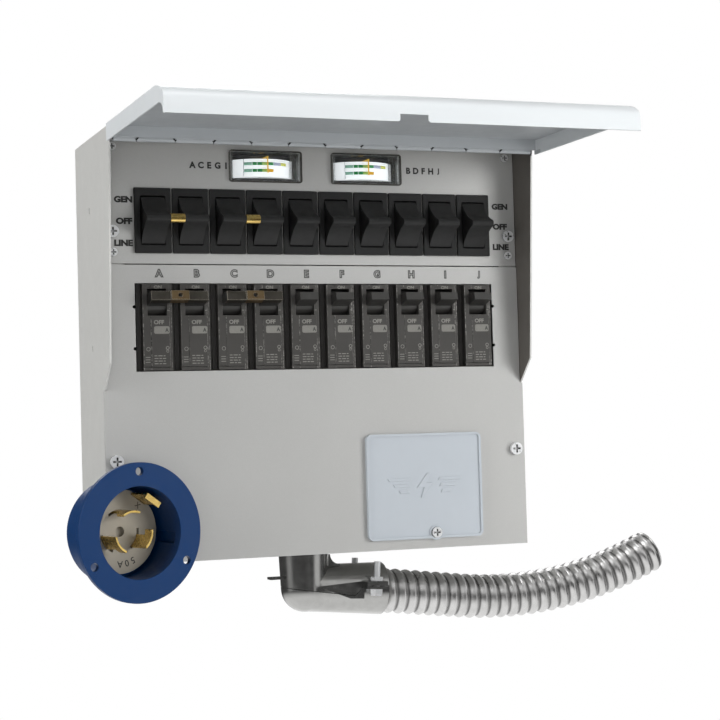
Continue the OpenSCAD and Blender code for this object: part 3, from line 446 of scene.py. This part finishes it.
INK_DARKER = ink("ink_darker", srgb(62, 62, 60))


def look(slot):
    return LOOKS[slot].material


# ---- the CAD nodes: softened edges and their own materials ----

WELD = 2e-6                             # metres within which the facets' corners are one
SHARP_ANGLE = 28                        # degrees over which an edge is sharp


def edge_cleaner():
    """Geometry nodes that join the facets' shared corners and shade by angle."""
    group = bpy.data.node_groups.new("edge_cleaner", "GeometryNodeTree")
    for way in ("INPUT", "OUTPUT"):
        group.interface.new_socket("Geometry", in_out=way, socket_type="NodeSocketGeometry")
    start = group.nodes.new("NodeGroupInput")
    end = group.nodes.new("NodeGroupOutput")
    merge = group.nodes.new("GeometryNodeMergeByDistance")
    merge.inputs["Distance"].default_value = WELD
    angle = group.nodes.new("GeometryNodeInputMeshEdgeAngle")
    sharp = group.nodes.new("FunctionNodeCompare")
    sharp.data_type = "FLOAT"
    sharp.operation = "GREATER_THAN"
    sharp.inputs[1].default_value = math.radians(SHARP_ANGLE)
    normals = group.nodes.new("GeometryNodeSetMeshNormal")
    normals.mode = "SHARPNESS"
    normals.inputs["Remove Custom"].default_value = True
    normals.inputs["Face Sharpness"].default_value = False
    link = group.links.new
    link(start.outputs[0], merge.inputs["Geometry"])
    link(merge.outputs[0], normals.inputs["Mesh"])
    link(angle.outputs[0], sharp.inputs[0])
    link(sharp.outputs[0], normals.inputs["Edge Sharpness"])
    link(normals.outputs[0], end.inputs[0])
    return group


CLEANER = edge_cleaner()


def add_bevel(piece, width):
    bevel = piece.modifiers.new("soft_edges", "BEVEL")
    bevel.width = width * MM
    bevel.segments = 2
    bevel.limit_method = "ANGLE"
    bevel.angle_limit = math.radians(SHARP_ANGLE)
    bevel.harden_normals = True
    bevel.miter_outer = "MITER_ARC"


def soften(name, width):
    piece = nodes[name]
    cleaner = piece.modifiers.new("clean", "NODES")
    cleaner.node_group = CLEANER
    if width:
        add_bevel(piece, width)


# Width of each node's softened edges; a node that isn't listed gets the usual one
USUAL_EDGE = 0.25
KNOB_EDGE = 0.45
EDGES = {
    "enclosure_box": 0.0, "upper_panel": 0.0, "lower_cover": 0.0, "lid": 0.0, "cover_plate": 0.7,
    "cover_plate_screw": 0.7, "lower_cover_screws": 0.9, "panel_screws": 0.8, "panel_small_screws": 0.5,
    "switch_housings": 0.7, "breaker_cases": 0.35, "elbow_body": 0.6, "elbow_saddle": 0.6,
    "inlet_shell": 0.5, "inlet_insulator": 0.4, "meter_lenses": 0.4, "hinge_pin": 0.2,
    "conduit_wires": 0.0, "flex_conduit": 0.0, "bus_bar": 0.4,
}
for entry in frame["record"]["subparts"]:
    piece_name = entry["node"]
    nodes[piece_name].data.materials.clear()
    nodes[piece_name].data.materials.append(look(entry["material_slot"]))
    default = KNOB_EDGE if piece_name.startswith(("rocker_", "breaker_handle_")) else USUAL_EDGE
    soften(piece_name, EDGES.get(piece_name, default))
# The hinge pin takes the near-black painted shade in place of its zinc slot
nodes["hinge_pin"].data.materials[0] = look("pin_steel")


# ---- mesh tools for the added pieces ----

FRONT = Matrix(((1, 0, 0), (0, 0, -1), (0, 1, 0))).to_4x4()   # drawn flat, then stood up facing -Y


def add_piece(name, bm, body, materials, smooth=False):
    """Turns a bmesh in millimetres into a finished piece on a body."""
    bmesh.ops.scale(bm, vec=(MM, MM, MM), verts=bm.verts)
    bmesh.ops.recalc_face_normals(bm, faces=bm.faces)
    mesh = bpy.data.meshes.new(name)
    bm.to_mesh(mesh)
    bm.free()
    for each in materials:
        mesh.materials.append(each)
    for face in mesh.polygons:
        face.use_smooth = smooth
    piece = bpy.data.objects.new(name, mesh)
    bpy.context.scene.collection.objects.link(piece)
    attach(piece, body)
    return piece


def prism(bm, outline, low, high, place=None, index=0):
    """A closed prism over a flat outline of (x, y) points, from height low to high, then placed."""
    place = place or Matrix.Identity(4)
    base = [bm.verts.new(place @ Vector((x, y, low))) for x, y in outline]
    top = [bm.verts.new(place @ Vector((x, y, high))) for x, y in outline]
    count = len(outline)
    faces = [bm.faces.new(base[::-1]), bm.faces.new(top)]
    for i in range(count):
        j = (i + 1) % count
        faces.append(bm.faces.new((base[i], base[j], top[j], top[i])))
    for face in faces:
        face.material_index = index


def rounded_rectangle(width, height, radius):
    steps = 5
    points = []
    for cx, cy, start in ((1, 1, 0), (-1, 1, 90), (-1, -1, 180), (1, -1, 270)):
        for k in range(steps + 1):
            a = math.radians(start + 90 * k / steps)
            points.append((cx * (width / 2 - radius) + radius * math.cos(a),
                           cy * (height / 2 - radius) + radius * math.sin(a)))
    return points


def ring_outline(radius, count=24):
    return [(radius * math.cos(2 * math.pi * k / count), radius * math.sin(2 * math.pi * k / count))
            for k in range(count)]


def front_at(x, y, z):
    """Places a flat drawing on a front face at (x, y, z)."""
    return Matrix.Translation((x, y, z)) @ FRONT


def letters(bm, text, height, place, width=None, bold=0.0, stroke=0.0, index=0):
    """Adds text, centred, height tall and at most width wide, with its own thickness."""
    curve = bpy.data.curves.new("letters", "FONT")
    curve.body = text
    curve.align_x = "CENTER"
    curve.offset = bold
    curve.resolution_u = 4
    if stroke:
        curve.fill_mode = "NONE"
        curve.bevel_depth = stroke
        curve.bevel_resolution = 1
    else:
        curve.extrude = 0.05
    stand_in = bpy.data.objects.new("letters", curve)
    bpy.context.scene.collection.objects.link(stand_in)
    graph = bpy.context.evaluated_depsgraph_get()
    mesh = bpy.data.meshes.new_from_object(stand_in.evaluated_get(graph))
    low = Vector([min(v.co[k] for v in mesh.vertices) for k in range(3)])
    high = Vector([max(v.co[k] for v in mesh.vertices) for k in range(3)])
    size = high - low
    tall = height / size.y
    wide = tall if width is None else width / size.x
    mesh.transform(Matrix.Translation(-(low + high) / 2))
    mesh.transform(Matrix.Diagonal((wide, tall, INK / size.z, 1)))
    mesh.transform(Matrix.Translation((0, 0, INK / 2)))
    mesh.transform(place)
    old = len(bm.faces)
    bm.from_mesh(mesh)
    bm.faces.ensure_lookup_table()
    for face in bm.faces[old:]:
        face.material_index = index
    bpy.data.objects.remove(stand_in)
    bpy.data.curves.remove(curve)
    bpy.data.meshes.remove(mesh)


# ---- printed marks on the panel and the cover ----

def print_panel():
    bm = bmesh.new()
    for text, z, left, right, width in (("GEN", 96.0, -133.3, 136.0, 12.2),
                                        ("OFF", 81.9, -132.9, 135.8, 11.0),
                                        ("LINE", 67.6, -133.6, 136.0, 12.4)):
        for x in (left, right):
            letters(bm, text, 4.3, front_at(x, PANEL_Y, z), width, bold=0.06)
    for text, first, last in (("ACEGI", -86.3, -63.3), ("BDFHJ", 67.4, 89.8)):
        for k, letter in enumerate(text):
            x = first + (last - first) * k / 4
            letters(bm, letter, 4.4, front_at(x, PANEL_Y, METER_Z), None, bold=0.045)
    add_piece("panel_print", bm, "enclosure", [INK_BLACK.material])


def print_cover():
    bm = bmesh.new()
    for x, letter in zip(ROW_X, CIRCUITS):
        letters(bm, letter, 5.7, front_at(x + 3.5, COVER_Y, 48.0), None, bold=0.03, stroke=0.055)
    add_piece("circuit_letters", bm, "enclosure", [INK_GREY.material])


# ---- breakers ----

def breaker_detail():
    """Raised label field, rating label, ON and OFF, and small moulded marks on every breaker."""
    field = bmesh.new()
    marks = bmesh.new()
    slot_low = 19.9
    raised = 0.35
    face_y = BREAKER_FRONT_Y - raised
    light, pale, dark = 0, 1, 2
    for x in BREAKER_X:
        at = front_at(x, BREAKER_FRONT_Y, 0)
        for low, high in ((-13.2, slot_low), (37.9, 40.5)):
            prism(field, [(SEAM_X, low), (FIELD_RIGHT, low), (FIELD_RIGHT, high), (SEAM_X, high)],
                  -0.2, raised, at)
        letters(marks, "ON", 2.2, front_at(x + 0.6, face_y, 38.8), 5.2, bold=0.035, index=light)
        letters(marks, "OFF", 2.8, front_at(x + 0.9, face_y, 15.9), 6.8, bold=0.035, index=light)
        label = front_at(x + 2.7, face_y, 10.8)
        prism(marks, rounded_rectangle(10.3, 4.9, 1.1), 0, INK, label, pale)
        letters(marks, "A", 2.6, front_at(x + 6.1, face_y - INK, 10.8), 2.4, bold=0.06, index=dark)
        at_face = front_at(x, face_y, 0)
        ring(marks, 1.35, 0.35, front_at(x - 6.4, BREAKER_FRONT_Y, -1.6), light)
        ring(marks, 1.2, 0.4, front_at(x + 6.3, face_y, -0.9), light)
        ring(marks, 0.9, 0.3, front_at(x + 6.3, face_y, -3.0), light)
        for row in range(4):
            z = -6.0 - 1.7 * row
            start = -2.6
            for length in (2.6, 1.5, 2.2) if row % 2 else (1.9, 2.8, 1.2):
                bar(marks, start, start + length, z, 0.55, at_face, light)
                start += length + 0.7
        for row in range(3):
            bar(marks, -8.4, -5.2, -6.9 - 1.6 * row, 0.45, at, light)
        bar(marks, 6.7, 8.3, 23.6, 0.5, at, light)
    seams = add_piece("breaker_label_fields", field, "enclosure",
                      [look("breaker_plastic")])
    add_bevel(seams, 0.18)
    add_piece("breaker_marks", marks, "enclosure",
              [INK_MARK.material, INK_LABEL.material, INK_DARKER.material])


def bar(bm, left, right, z, height, place, index):
    """A printed bar."""
    prism(bm, [(left, z - height / 2), (right, z - height / 2), (right, z + height / 2),
               (left, z + height / 2)], 0, INK, place, index)


def ring(bm, radius, wide, place, index, thick=INK, count=24):
    """A flat ring with real thickness."""
    loops = []
    for r, h in ((radius, 0), (radius, thick), (radius - wide, thick), (radius - wide, 0)):
        loops.append([bm.verts.new(place @ Vector((x, y, h))) for x, y in ring_outline(r, count)])
    for k in range(4):
        a, b = loops[k], loops[(k + 1) % 4]
        for i in range(count):
            j = (i + 1) % count
            bm.faces.new((a[i], a[j], b[j], b[i])).material_index = index


# ---- meters ----

METER_COLOURS = {
    "pale_green": srgb(150, 204, 180), "green": srgb(14, 140, 66), "leaf_green": srgb(172, 210, 110),
    "mid_green": srgb(60, 158, 96), "lilac": srgb(190, 198, 222), "pale_yellow": srgb(236, 238, 120),
    "amber": srgb(246, 186, 36), "line": srgb(70, 78, 78),
}
# Each bar on a dial: colour, first and last angle in degrees, row
METER_BARS = [
    ("pale_green", -31.0, -20.0, 0), ("green", -19.4, -13.3, 0), ("green", -12.8, -6.2, 0),
    ("leaf_green", -6.2, 2.6, 0), ("mid_green", 2.6, 10.1, 0),
    ("lilac", 10.4, 22.4, 0), ("pale_yellow", 22.4, 32.8, 0),
    ("pale_green", -31.0, -20.0, 1), ("green", -19.4, -13.3, 1), ("green", -12.8, -6.2, 1),
    ("leaf_green", -6.2, 2.6, 1), ("amber", 2.6, 10.1, 1),
]
METER_ROWS = ((0.7, 2.8), (-3.9, -1.8))


def dial_patch(bm, x, first, last, low, high, index):
    """A thin curved patch on a meter's dial between two angles and two heights."""
    inner = DIAL_R + 0.01
    outer = DIAL_R + 0.06
    steps = max(2, round((last - first) / 2))
    loops = []
    for k in range(steps + 1):
        a = math.radians(first + (last - first) * k / steps)
        column = []
        for r, z in ((inner, low), (outer, low), (outer, high), (inner, high)):
            place = (x + r * math.sin(a), METER_PIVOT_Y - r * math.cos(a), METER_Z + z)
            column.append(bm.verts.new(place))
        loops.append(column)
    faces = [bm.faces.new(loops[0]), bm.faces.new(loops[-1][::-1])]
    for a, b in zip(loops, loops[1:]):
        for k in range(4):
            m = (k + 1) % 4
            faces.append(bm.faces.new((a[k], b[k], b[m], a[m])))
    for face in faces:
        face.material_index = index


def meter_detail():
    names = list(METER_COLOURS)
    # Painted light: the dial's printed colours glow faintly
    inks = [painted_glow(ink("dial_" + name, METER_COLOURS[name]), 0.15).material for name in names]
    line = names.index("line")
    for side, label in ((-1, "left"), (1, "right")):
        bm = bmesh.new()
        x = side * METER_X
        for colour, first, last, row in METER_BARS:
            low, high = METER_ROWS[row]
            dial_patch(bm, x, first, last, low, high, names.index(colour))
        for edge in (-32.0, 40.0):
            dial_patch(bm, x, edge, edge + 0.7, -6.8, 4.8, line)
        for k in range(14):
            a = -30 + 4.6 * k
            dial_patch(bm, x, a, a + 0.35, 3.5, 4.3 if k % 2 else 3.9, line)
        add_piece("meter_scale_" + label, bm, "enclosure", inks, True)


# ---- cover plate ----

def plate_emblem():
    """Raised lightning bolt between two bars, where the plate carries its mark."""
    bm = bmesh.new()
    centre_x, centre_z = 71.7, -96.8
    at = front_at(centre_x, COVER_Y - 2.2, centre_z)
    bolt = [(1.5, 8.2), (-6.2, -1.6), (-0.9, -1.2), (-3.4, -8.6), (5.4, 1.9), (0.6, 1.7), (4.4, 8.2)]
    prism(bm, bolt, -0.3, 0.7, at)
    for side in (-1, 1):
        for k, length in enumerate((17.0, 13.0, 9.0)):
            near = side * (9.5 + 1.0 * k)
            far = side * (9.5 + length)
            low = 3.2 - 4.2 * k
            lean, tall = side * 1.2, 2.2
            corners = [(near, low), (far, low), (far + lean, low + tall), (near + lean, low + tall)]
            prism(bm, corners if side > 0 else corners[::-1], -0.3, 0.6, at)
    emblem = add_piece("plate_emblem", bm, "enclosure", [look("plate_plastic")])
    add_bevel(emblem, 0.3)
    boss = bmesh.new()
    ring(boss, 5.2, 1.4, front_at(79.0, COVER_Y - 2.15, -129.2), 0, 0.8, 40)
    rim = add_piece("plate_screw_boss", boss, "enclosure", [look("plate_plastic")])
    add_bevel(rim, 0.25)


# ---- conduit ----

FLEX_R = 15.5
FLEX_WALL = 2.5
FLEX_START = 8.0
FLEX_STRAIGHT = 98.0
FLEX_BEND = 290.0
FLEX_ARC = math.radians(31.6)
STRIP_PITCH = 7.8
STRIP_DEPTH = 1.9
RUN_DIP = math.radians(3.4)             # the elbow's lower mouth, below level
MOUTH_DIP = math.radians(7)             # the conduit, below level
ELBOW_CORNER = Vector((-4.0, -38.0, -165.2))
MOUTH_OUT = 17.7
SAG_AT = 16.0


def mouth_frame():
    """Where the conduit starts: origin, the way out, and the way up across it."""
    run = Vector((math.cos(RUN_DIP), 0, -math.sin(RUN_DIP)))
    out = Vector((math.cos(MOUTH_DIP), 0, -math.sin(MOUTH_DIP)))
    up = Vector((math.sin(MOUTH_DIP), 0, math.cos(MOUTH_DIP)))
    return ELBOW_CORNER + (MOUTH_OUT + SAG_AT) * run - SAG_AT * out, out, up


def flex_point(distance):
    """Centre, direction out and normal of the conduit's axis, at a distance along it."""
    origin, out, up = mouth_frame()
    if distance <= FLEX_STRAIGHT:
        return origin + out * distance, out, up
    a = (distance - FLEX_STRAIGHT) / FLEX_BEND
    centre = origin + out * (FLEX_STRAIGHT + FLEX_BEND * math.sin(a)) + up * FLEX_BEND * (1 - math.cos(a))
    return centre, out * math.cos(a) + up * math.sin(a), up * math.cos(a) - out * math.sin(a)


def strip_height(turn):
    """Height from 0 to 1 of the interlocked strip over one pitch: a wide crown and a tight groove."""
    return (0.5 + 0.5 * math.cos(2 * math.pi * turn)) ** 0.75


def flex_armour():
    """The conduit's interlocked strip, wound in one helix, with a plain bore and square-cut ends."""
    around = 72
    per_pitch = 18
    bore_every = 9
    plain_end = 0.8
    end = FLEX_STRAIGHT + FLEX_BEND * FLEX_ARC
    rings = math.ceil((end - FLEX_START) / STRIP_PITCH * per_pitch)
    bm = bmesh.new()
    outer = []
    inner = []
    for i in range(rings + 1):
        s = FLEX_START + (end - FLEX_START) * i / rings
        centre, _, normal = flex_point(s)
        side = Vector((0, 1, 0))
        outer.append([])
        for k in range(around):
            a = 2 * math.pi * k / around
            lift = strip_height(s / STRIP_PITCH - k / around)
            if s > end - plain_end:
                lift = 0.4
            r = FLEX_R - STRIP_DEPTH * (1 - lift)
            outer[-1].append(bm.verts.new(centre + (side * math.cos(a) + normal * math.sin(a)) * r))
        if i % bore_every == 0 or i == rings:
            r = FLEX_R - FLEX_WALL
            inner.append([bm.verts.new(centre + (side * math.cos(2 * math.pi * k / around)
                                                 + normal * math.sin(2 * math.pi * k / around)) * r)
                          for k in range(around)])
    for loops in (outer, inner):
        for a, b in zip(loops, loops[1:]):
            for k in range(around):
                m = (k + 1) % around
                bm.faces.new((a[k], a[m], b[m], b[k]))
    for a, b in ((outer[0], inner[0]), (outer[-1], inner[-1])):
        for k in range(around):
            m = (k + 1) % around
            bm.faces.new((a[k], a[m], b[m], b[k]))
    piece = add_piece("flex_armour", bm, "enclosure", [make_flex_look()], True)
    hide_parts("flex_conduit")


def make_flex_look():
    """Galvanised strip: bright crowns, grooves painted dark as painted shade, and fine drawing lines round
    the conduit.
    """
    s = LOOKS["flex_metal"]
    shape = s.node("ShaderNodeNewGeometry")
    # Painted shade: pointiness darkens the grooves towards black
    groove = s.spread(shape.outputs["Pointiness"], 0.22, 1.0, 0.485, 0.503)
    base = s.base()
    s.set("Base Color", s.mix(groove, (0.05, 0.05, 0.05, 1), base))
    return s.material


# ---- inlet ----

def at_inlet(x, depth, z, turn=0.0):
    """Places a flat drawing on a face of the inlet, depth behind its flange's front."""
    spin = Matrix.Rotation(turn, 4, "Z")
    return (Matrix.Translation(INLET_AT) @ Matrix.Rotation(INLET_TURN, 4, "Z")
            @ Matrix.Translation((x, depth, z)) @ FRONT @ spin)


def inlet_print():
    """Rating and terminal letters round the insulator's face."""
    bm = bmesh.new()
    for marks, radius, height in (((("5", -64), ("0", -77), ("A", -91)), 20.6, 4.2),
                                  ((("X", 50), ("Y", 140), ("W", -25)), 20.8, 3.4)):
        for letter, angle in marks:
            a = math.radians(angle)
            place = at_inlet(radius * math.cos(a), INLET_RECESS, radius * math.sin(a), a - math.pi / 2)
            letters(bm, letter, height, place, bold=0.01)
    add_piece("inlet_print", bm, "enclosure", [INK_BLACK.material])


print_panel()
print_cover()
breaker_detail()
meter_detail()
plate_emblem()
flex_armour()
inlet_print()


# ---- floor, light and camera ----

BOUNCE = 0.6                            # how much light the backdrop gives back
FLOOR_SHINE = 1.3                       # how bright the floor under the part is in reflections
FAR_SHINE = 1.0                         # how bright its brightest side is further away
NEAR_FLOOR = 0.42                       # metres from the part where the first ends
FAR_FLOOR = 0.8                         # and where the second starts
# How much reflections see along the horizon: direction from -1 (left) to 1 (right), brightness
MIRRORED_SIDES = ((-1.0, 0.8), (-0.92, 0.10), (-0.2, 0.08), (0.1, 0.14), (0.30, 0.06), (0.42, 0.08),
                  (0.54, 1.0), (0.78, 1.0), (0.88, 0.10), (1.0, 0.08))


def ramp_over(tree, value, stops):
    """A grey ramp over a value from -1 to 1."""
    share = tree.nodes.new("ShaderNodeMapRange")
    share.inputs["From Min"].default_value = -1.0
    tree.links.new(value, share.inputs["Value"])
    node = tree.nodes.new("ShaderNodeValToRGB")
    ramp = node.color_ramp
    for height, grey in stops[1:-1]:
        ramp.elements.new((height + 1) / 2).color = (grey, grey, grey, 1)
    for end, (height, grey) in ((0, stops[0]), (-1, stops[-1])):
        ramp.elements[end].position = (height + 1) / 2
        ramp.elements[end].color = (grey, grey, grey, 1)
    tree.links.new(share.outputs[0], node.inputs[0])
    return node.outputs[0]


def make_stage():
    """A pale floor that curves up behind the part, plain white to the camera."""
    size, depth, rise, radius = 9.0, 6.0, 5.0, 1.6
    floor_z = -0.34
    curve_y = 1.2
    steps = 12
    bm = bmesh.new()
    profile = [(-depth, floor_z), (curve_y, floor_z)]
    for k in range(1, steps + 1):
        a = math.radians(90 * k / steps)
        profile.append((curve_y + radius * math.sin(a), floor_z + radius * (1 - math.cos(a))))
    profile.append((curve_y + radius, floor_z + rise))
    rows = [[bm.verts.new((x, y, z)) for x in (-size, size)] for y, z in profile]
    for a, b in zip(rows, rows[1:]):
        bm.faces.new((a[0], a[1], b[1], b[0]))
    mesh = bpy.data.meshes.new("backdrop")
    bm.to_mesh(mesh)
    bm.free()
    s = Shader("backdrop_white")
    grey = (BOUNCE, BOUNCE, BOUNCE, 1)
    s.set("Base Color", s.mix(s.noise(900, 2), grey, scaled((1, 1, 1), BOUNCE + 0.02)))
    s.set("Roughness", 0.9)
    paper = s.node("ShaderNodeEmission")
    path = s.node("ShaderNodeLightPath")
    seen = s.node("ShaderNodeMixShader")
    s.feed(seen.inputs[0], path.outputs["Is Camera Ray"])
    shine = s.node("ShaderNodeEmission")
    away = s.node("ShaderNodeVectorMath", operation="LENGTH")
    s.feed(away.inputs[0], s.place)
    aside = ramp_over(s.tree, s.math("DIVIDE", s.axis("X"), away.outputs["Value"]), MIRRORED_SIDES)
    far = s.math("MULTIPLY", aside, FAR_SHINE)
    far_share = s.spread(away.outputs["Value"], 0.0, 1.0, NEAR_FLOOR, FAR_FLOOR)
    strength = s.math("ADD", s.math("MULTIPLY", far_share, far),
                      s.math("MULTIPLY", s.math("SUBTRACT", 1.0, far_share), FLOOR_SHINE))
    s.feed(shine.inputs["Strength"], strength)
    mirrored = s.node("ShaderNodeMixShader")
    s.feed(mirrored.inputs[0], path.outputs["Is Glossy Ray"])
    s.tree.links.new(s.bsdf.outputs[0], mirrored.inputs[1])
    s.tree.links.new(shine.outputs[0], mirrored.inputs[2])
    s.tree.links.new(mirrored.outputs[0], seen.inputs[1])
    s.tree.links.new(paper.outputs[0], seen.inputs[2])
    see_through = s.node("ShaderNodeBsdfTransparent")
    side = s.node("ShaderNodeNewGeometry")
    both = s.node("ShaderNodeMixShader")
    s.feed(both.inputs[0], side.outputs["Backfacing"])
    s.tree.links.new(seen.outputs[0], both.inputs[1])
    s.tree.links.new(see_through.outputs[0], both.inputs[2])
    s.tree.links.new(both.outputs[0], s.output.inputs["Surface"])
    mesh.materials.append(s.material)
    backdrop = bpy.data.objects.new("backdrop", mesh)
    bpy.context.scene.collection.objects.link(backdrop)


def area_light(name, place, aim, size, power, mirrored=True):
    """A soft light; one that isn't mirrored leaves no shine on the part."""
    data = bpy.data.lights.new(name, "AREA")
    data.shape = "RECTANGLE"
    data.size, data.size_y = size
    data.energy = power
    lamp = bpy.data.objects.new(name, data)
    bpy.context.scene.collection.objects.link(lamp)
    lamp.visible_glossy = mirrored
    lamp.location = place
    lamp.rotation_mode = "QUATERNION"
    lamp.rotation_quaternion = (Vector(aim) - Vector(place)).to_track_quat("-Z", "Y")


AMBIENT = 0.02                          # plain light from all round
SKY = 0.03                              # extra light towards the zenith
# What reflections see of the sky: height from -1 (down) to 1 (up), brightness
MIRRORED_SKY = ((-1.0, 0.5), (-0.3, 0.4), (-0.08, 0.14), (0.14, 0.16), (0.30, 0.95), (0.58, 0.95),
                (0.72, 0.45), (1.0, 0.6))
LEVEL = 0.12                            # up to this height reflections see the horizon's sides
STEEP = 0.25                            # and from here the sky
LEFT_POWER = 39                         # watts of each light
FRONT_POWER = 27
RIGHT_POWER = 7.5
LOW_POWER = 12
TOP_POWER = 20
BACK_POWER = 15


def make_light():
    """Soft studio light, with a sky of its own for reflections and plain white for the camera."""
    world = bpy.data.worlds.new("studio")
    world.use_nodes = True
    tree = world.node_tree
    background = tree.nodes["Background"]
    background.inputs["Color"].default_value = (1, 1, 1, 1)
    place = tree.nodes.new("ShaderNodeTexCoord")
    split = tree.nodes.new("ShaderNodeSeparateXYZ")
    rise = tree.nodes.new("ShaderNodeMapRange")
    rise.inputs["To Min"].default_value = AMBIENT
    rise.inputs["To Max"].default_value = AMBIENT + SKY
    tree.links.new(place.outputs["Generated"], split.inputs[0])
    tree.links.new(split.outputs["Z"], rise.inputs["Value"])
    by_height = ramp_over(tree, split.outputs["Z"], MIRRORED_SKY)
    by_side = ramp_over(tree, split.outputs["X"], MIRRORED_SIDES)
    slope = tree.nodes.new("ShaderNodeMath")
    slope.operation = "ABSOLUTE"
    tree.links.new(split.outputs["Z"], slope.inputs[0])
    steep = tree.nodes.new("ShaderNodeMapRange")
    steep.inputs["From Min"].default_value = LEVEL
    steep.inputs["From Max"].default_value = STEEP
    tree.links.new(slope.outputs[0], steep.inputs["Value"])
    mirrored = tree.nodes.new("ShaderNodeMix")
    path = tree.nodes.new("ShaderNodeLightPath")
    choice = tree.nodes.new("ShaderNodeMix")
    plain = tree.nodes.new("ShaderNodeMix")
    tree.links.new(steep.outputs[0], mirrored.inputs["Factor"])
    tree.links.new(by_side, mirrored.inputs["A"])
    tree.links.new(by_height, mirrored.inputs["B"])
    tree.links.new(path.outputs["Is Glossy Ray"], choice.inputs["Factor"])
    tree.links.new(rise.outputs[0], choice.inputs["A"])
    tree.links.new(mirrored.outputs[0], choice.inputs["B"])
    # Past the backdrop's edge the camera sees plain white
    tree.links.new(path.outputs["Is Camera Ray"], plain.inputs["Factor"])
    tree.links.new(choice.outputs[0], plain.inputs["A"])
    plain.inputs["B"].default_value = 1.0
    tree.links.new(plain.outputs[0], background.inputs["Strength"])
    bpy.context.scene.world = world
    centre = (0, -0.08, 0)
    area_light("left_light", (-2.0, -0.5, 0.8), centre, (1.2, 1.8), LEFT_POWER)
    area_light("front_light", (1.35, -1.9, 0.42), centre, (0.9, 0.6), FRONT_POWER, False)
    area_light("right_light", (1.0, -0.9, -0.15), centre, (0.5, 0.8), RIGHT_POWER, False)
    area_light("low_light", (-0.5, -2.1, -0.25), centre, (1.4, 0.7), LOW_POWER, False)
    area_light("top_light", (0.1, -0.9, 2.2), (0, -0.15, 0.1), (1.6, 0.9), TOP_POWER)
    area_light("back_light", (0, 1.6, 1.2), (0, 0, 0), (1.6, 0.8), BACK_POWER)


CAMERA_PLACE = (-0.3970, -1.1862, -0.0566)
CAMERA_AZIMUTH = math.radians(20.907)   # from +Y towards +X
CAMERA_TILT = math.radians(2.223)       # above level
CAMERA_ROLL = math.radians(-1.633)      # its right side dips
FRAME_WIDTH = 36                        # mm
LENS = 87.8                             # mm


def make_camera():
    """The photograph's viewpoint, fitted to the box's straight edges."""
    data = bpy.data.cameras.new("camera")
    camera = bpy.data.objects.new("camera", data)
    bpy.context.scene.collection.objects.link(camera)
    turn = Matrix.Rotation(-CAMERA_AZIMUTH, 4, "Z")
    tilt = Matrix.Rotation(math.pi / 2 + CAMERA_TILT, 4, "X")
    roll = Matrix.Rotation(CAMERA_ROLL, 4, "Z")
    camera.matrix_world = Matrix.Translation(CAMERA_PLACE) @ turn @ tilt @ roll
    data.sensor_width = FRAME_WIDTH
    data.lens = LENS
    data.clip_start = 0.05
    data.clip_end = 50
    bpy.context.scene.camera = camera


make_stage()
make_light()
make_camera()
bpy.context.scene.view_settings.view_transform = "Standard"
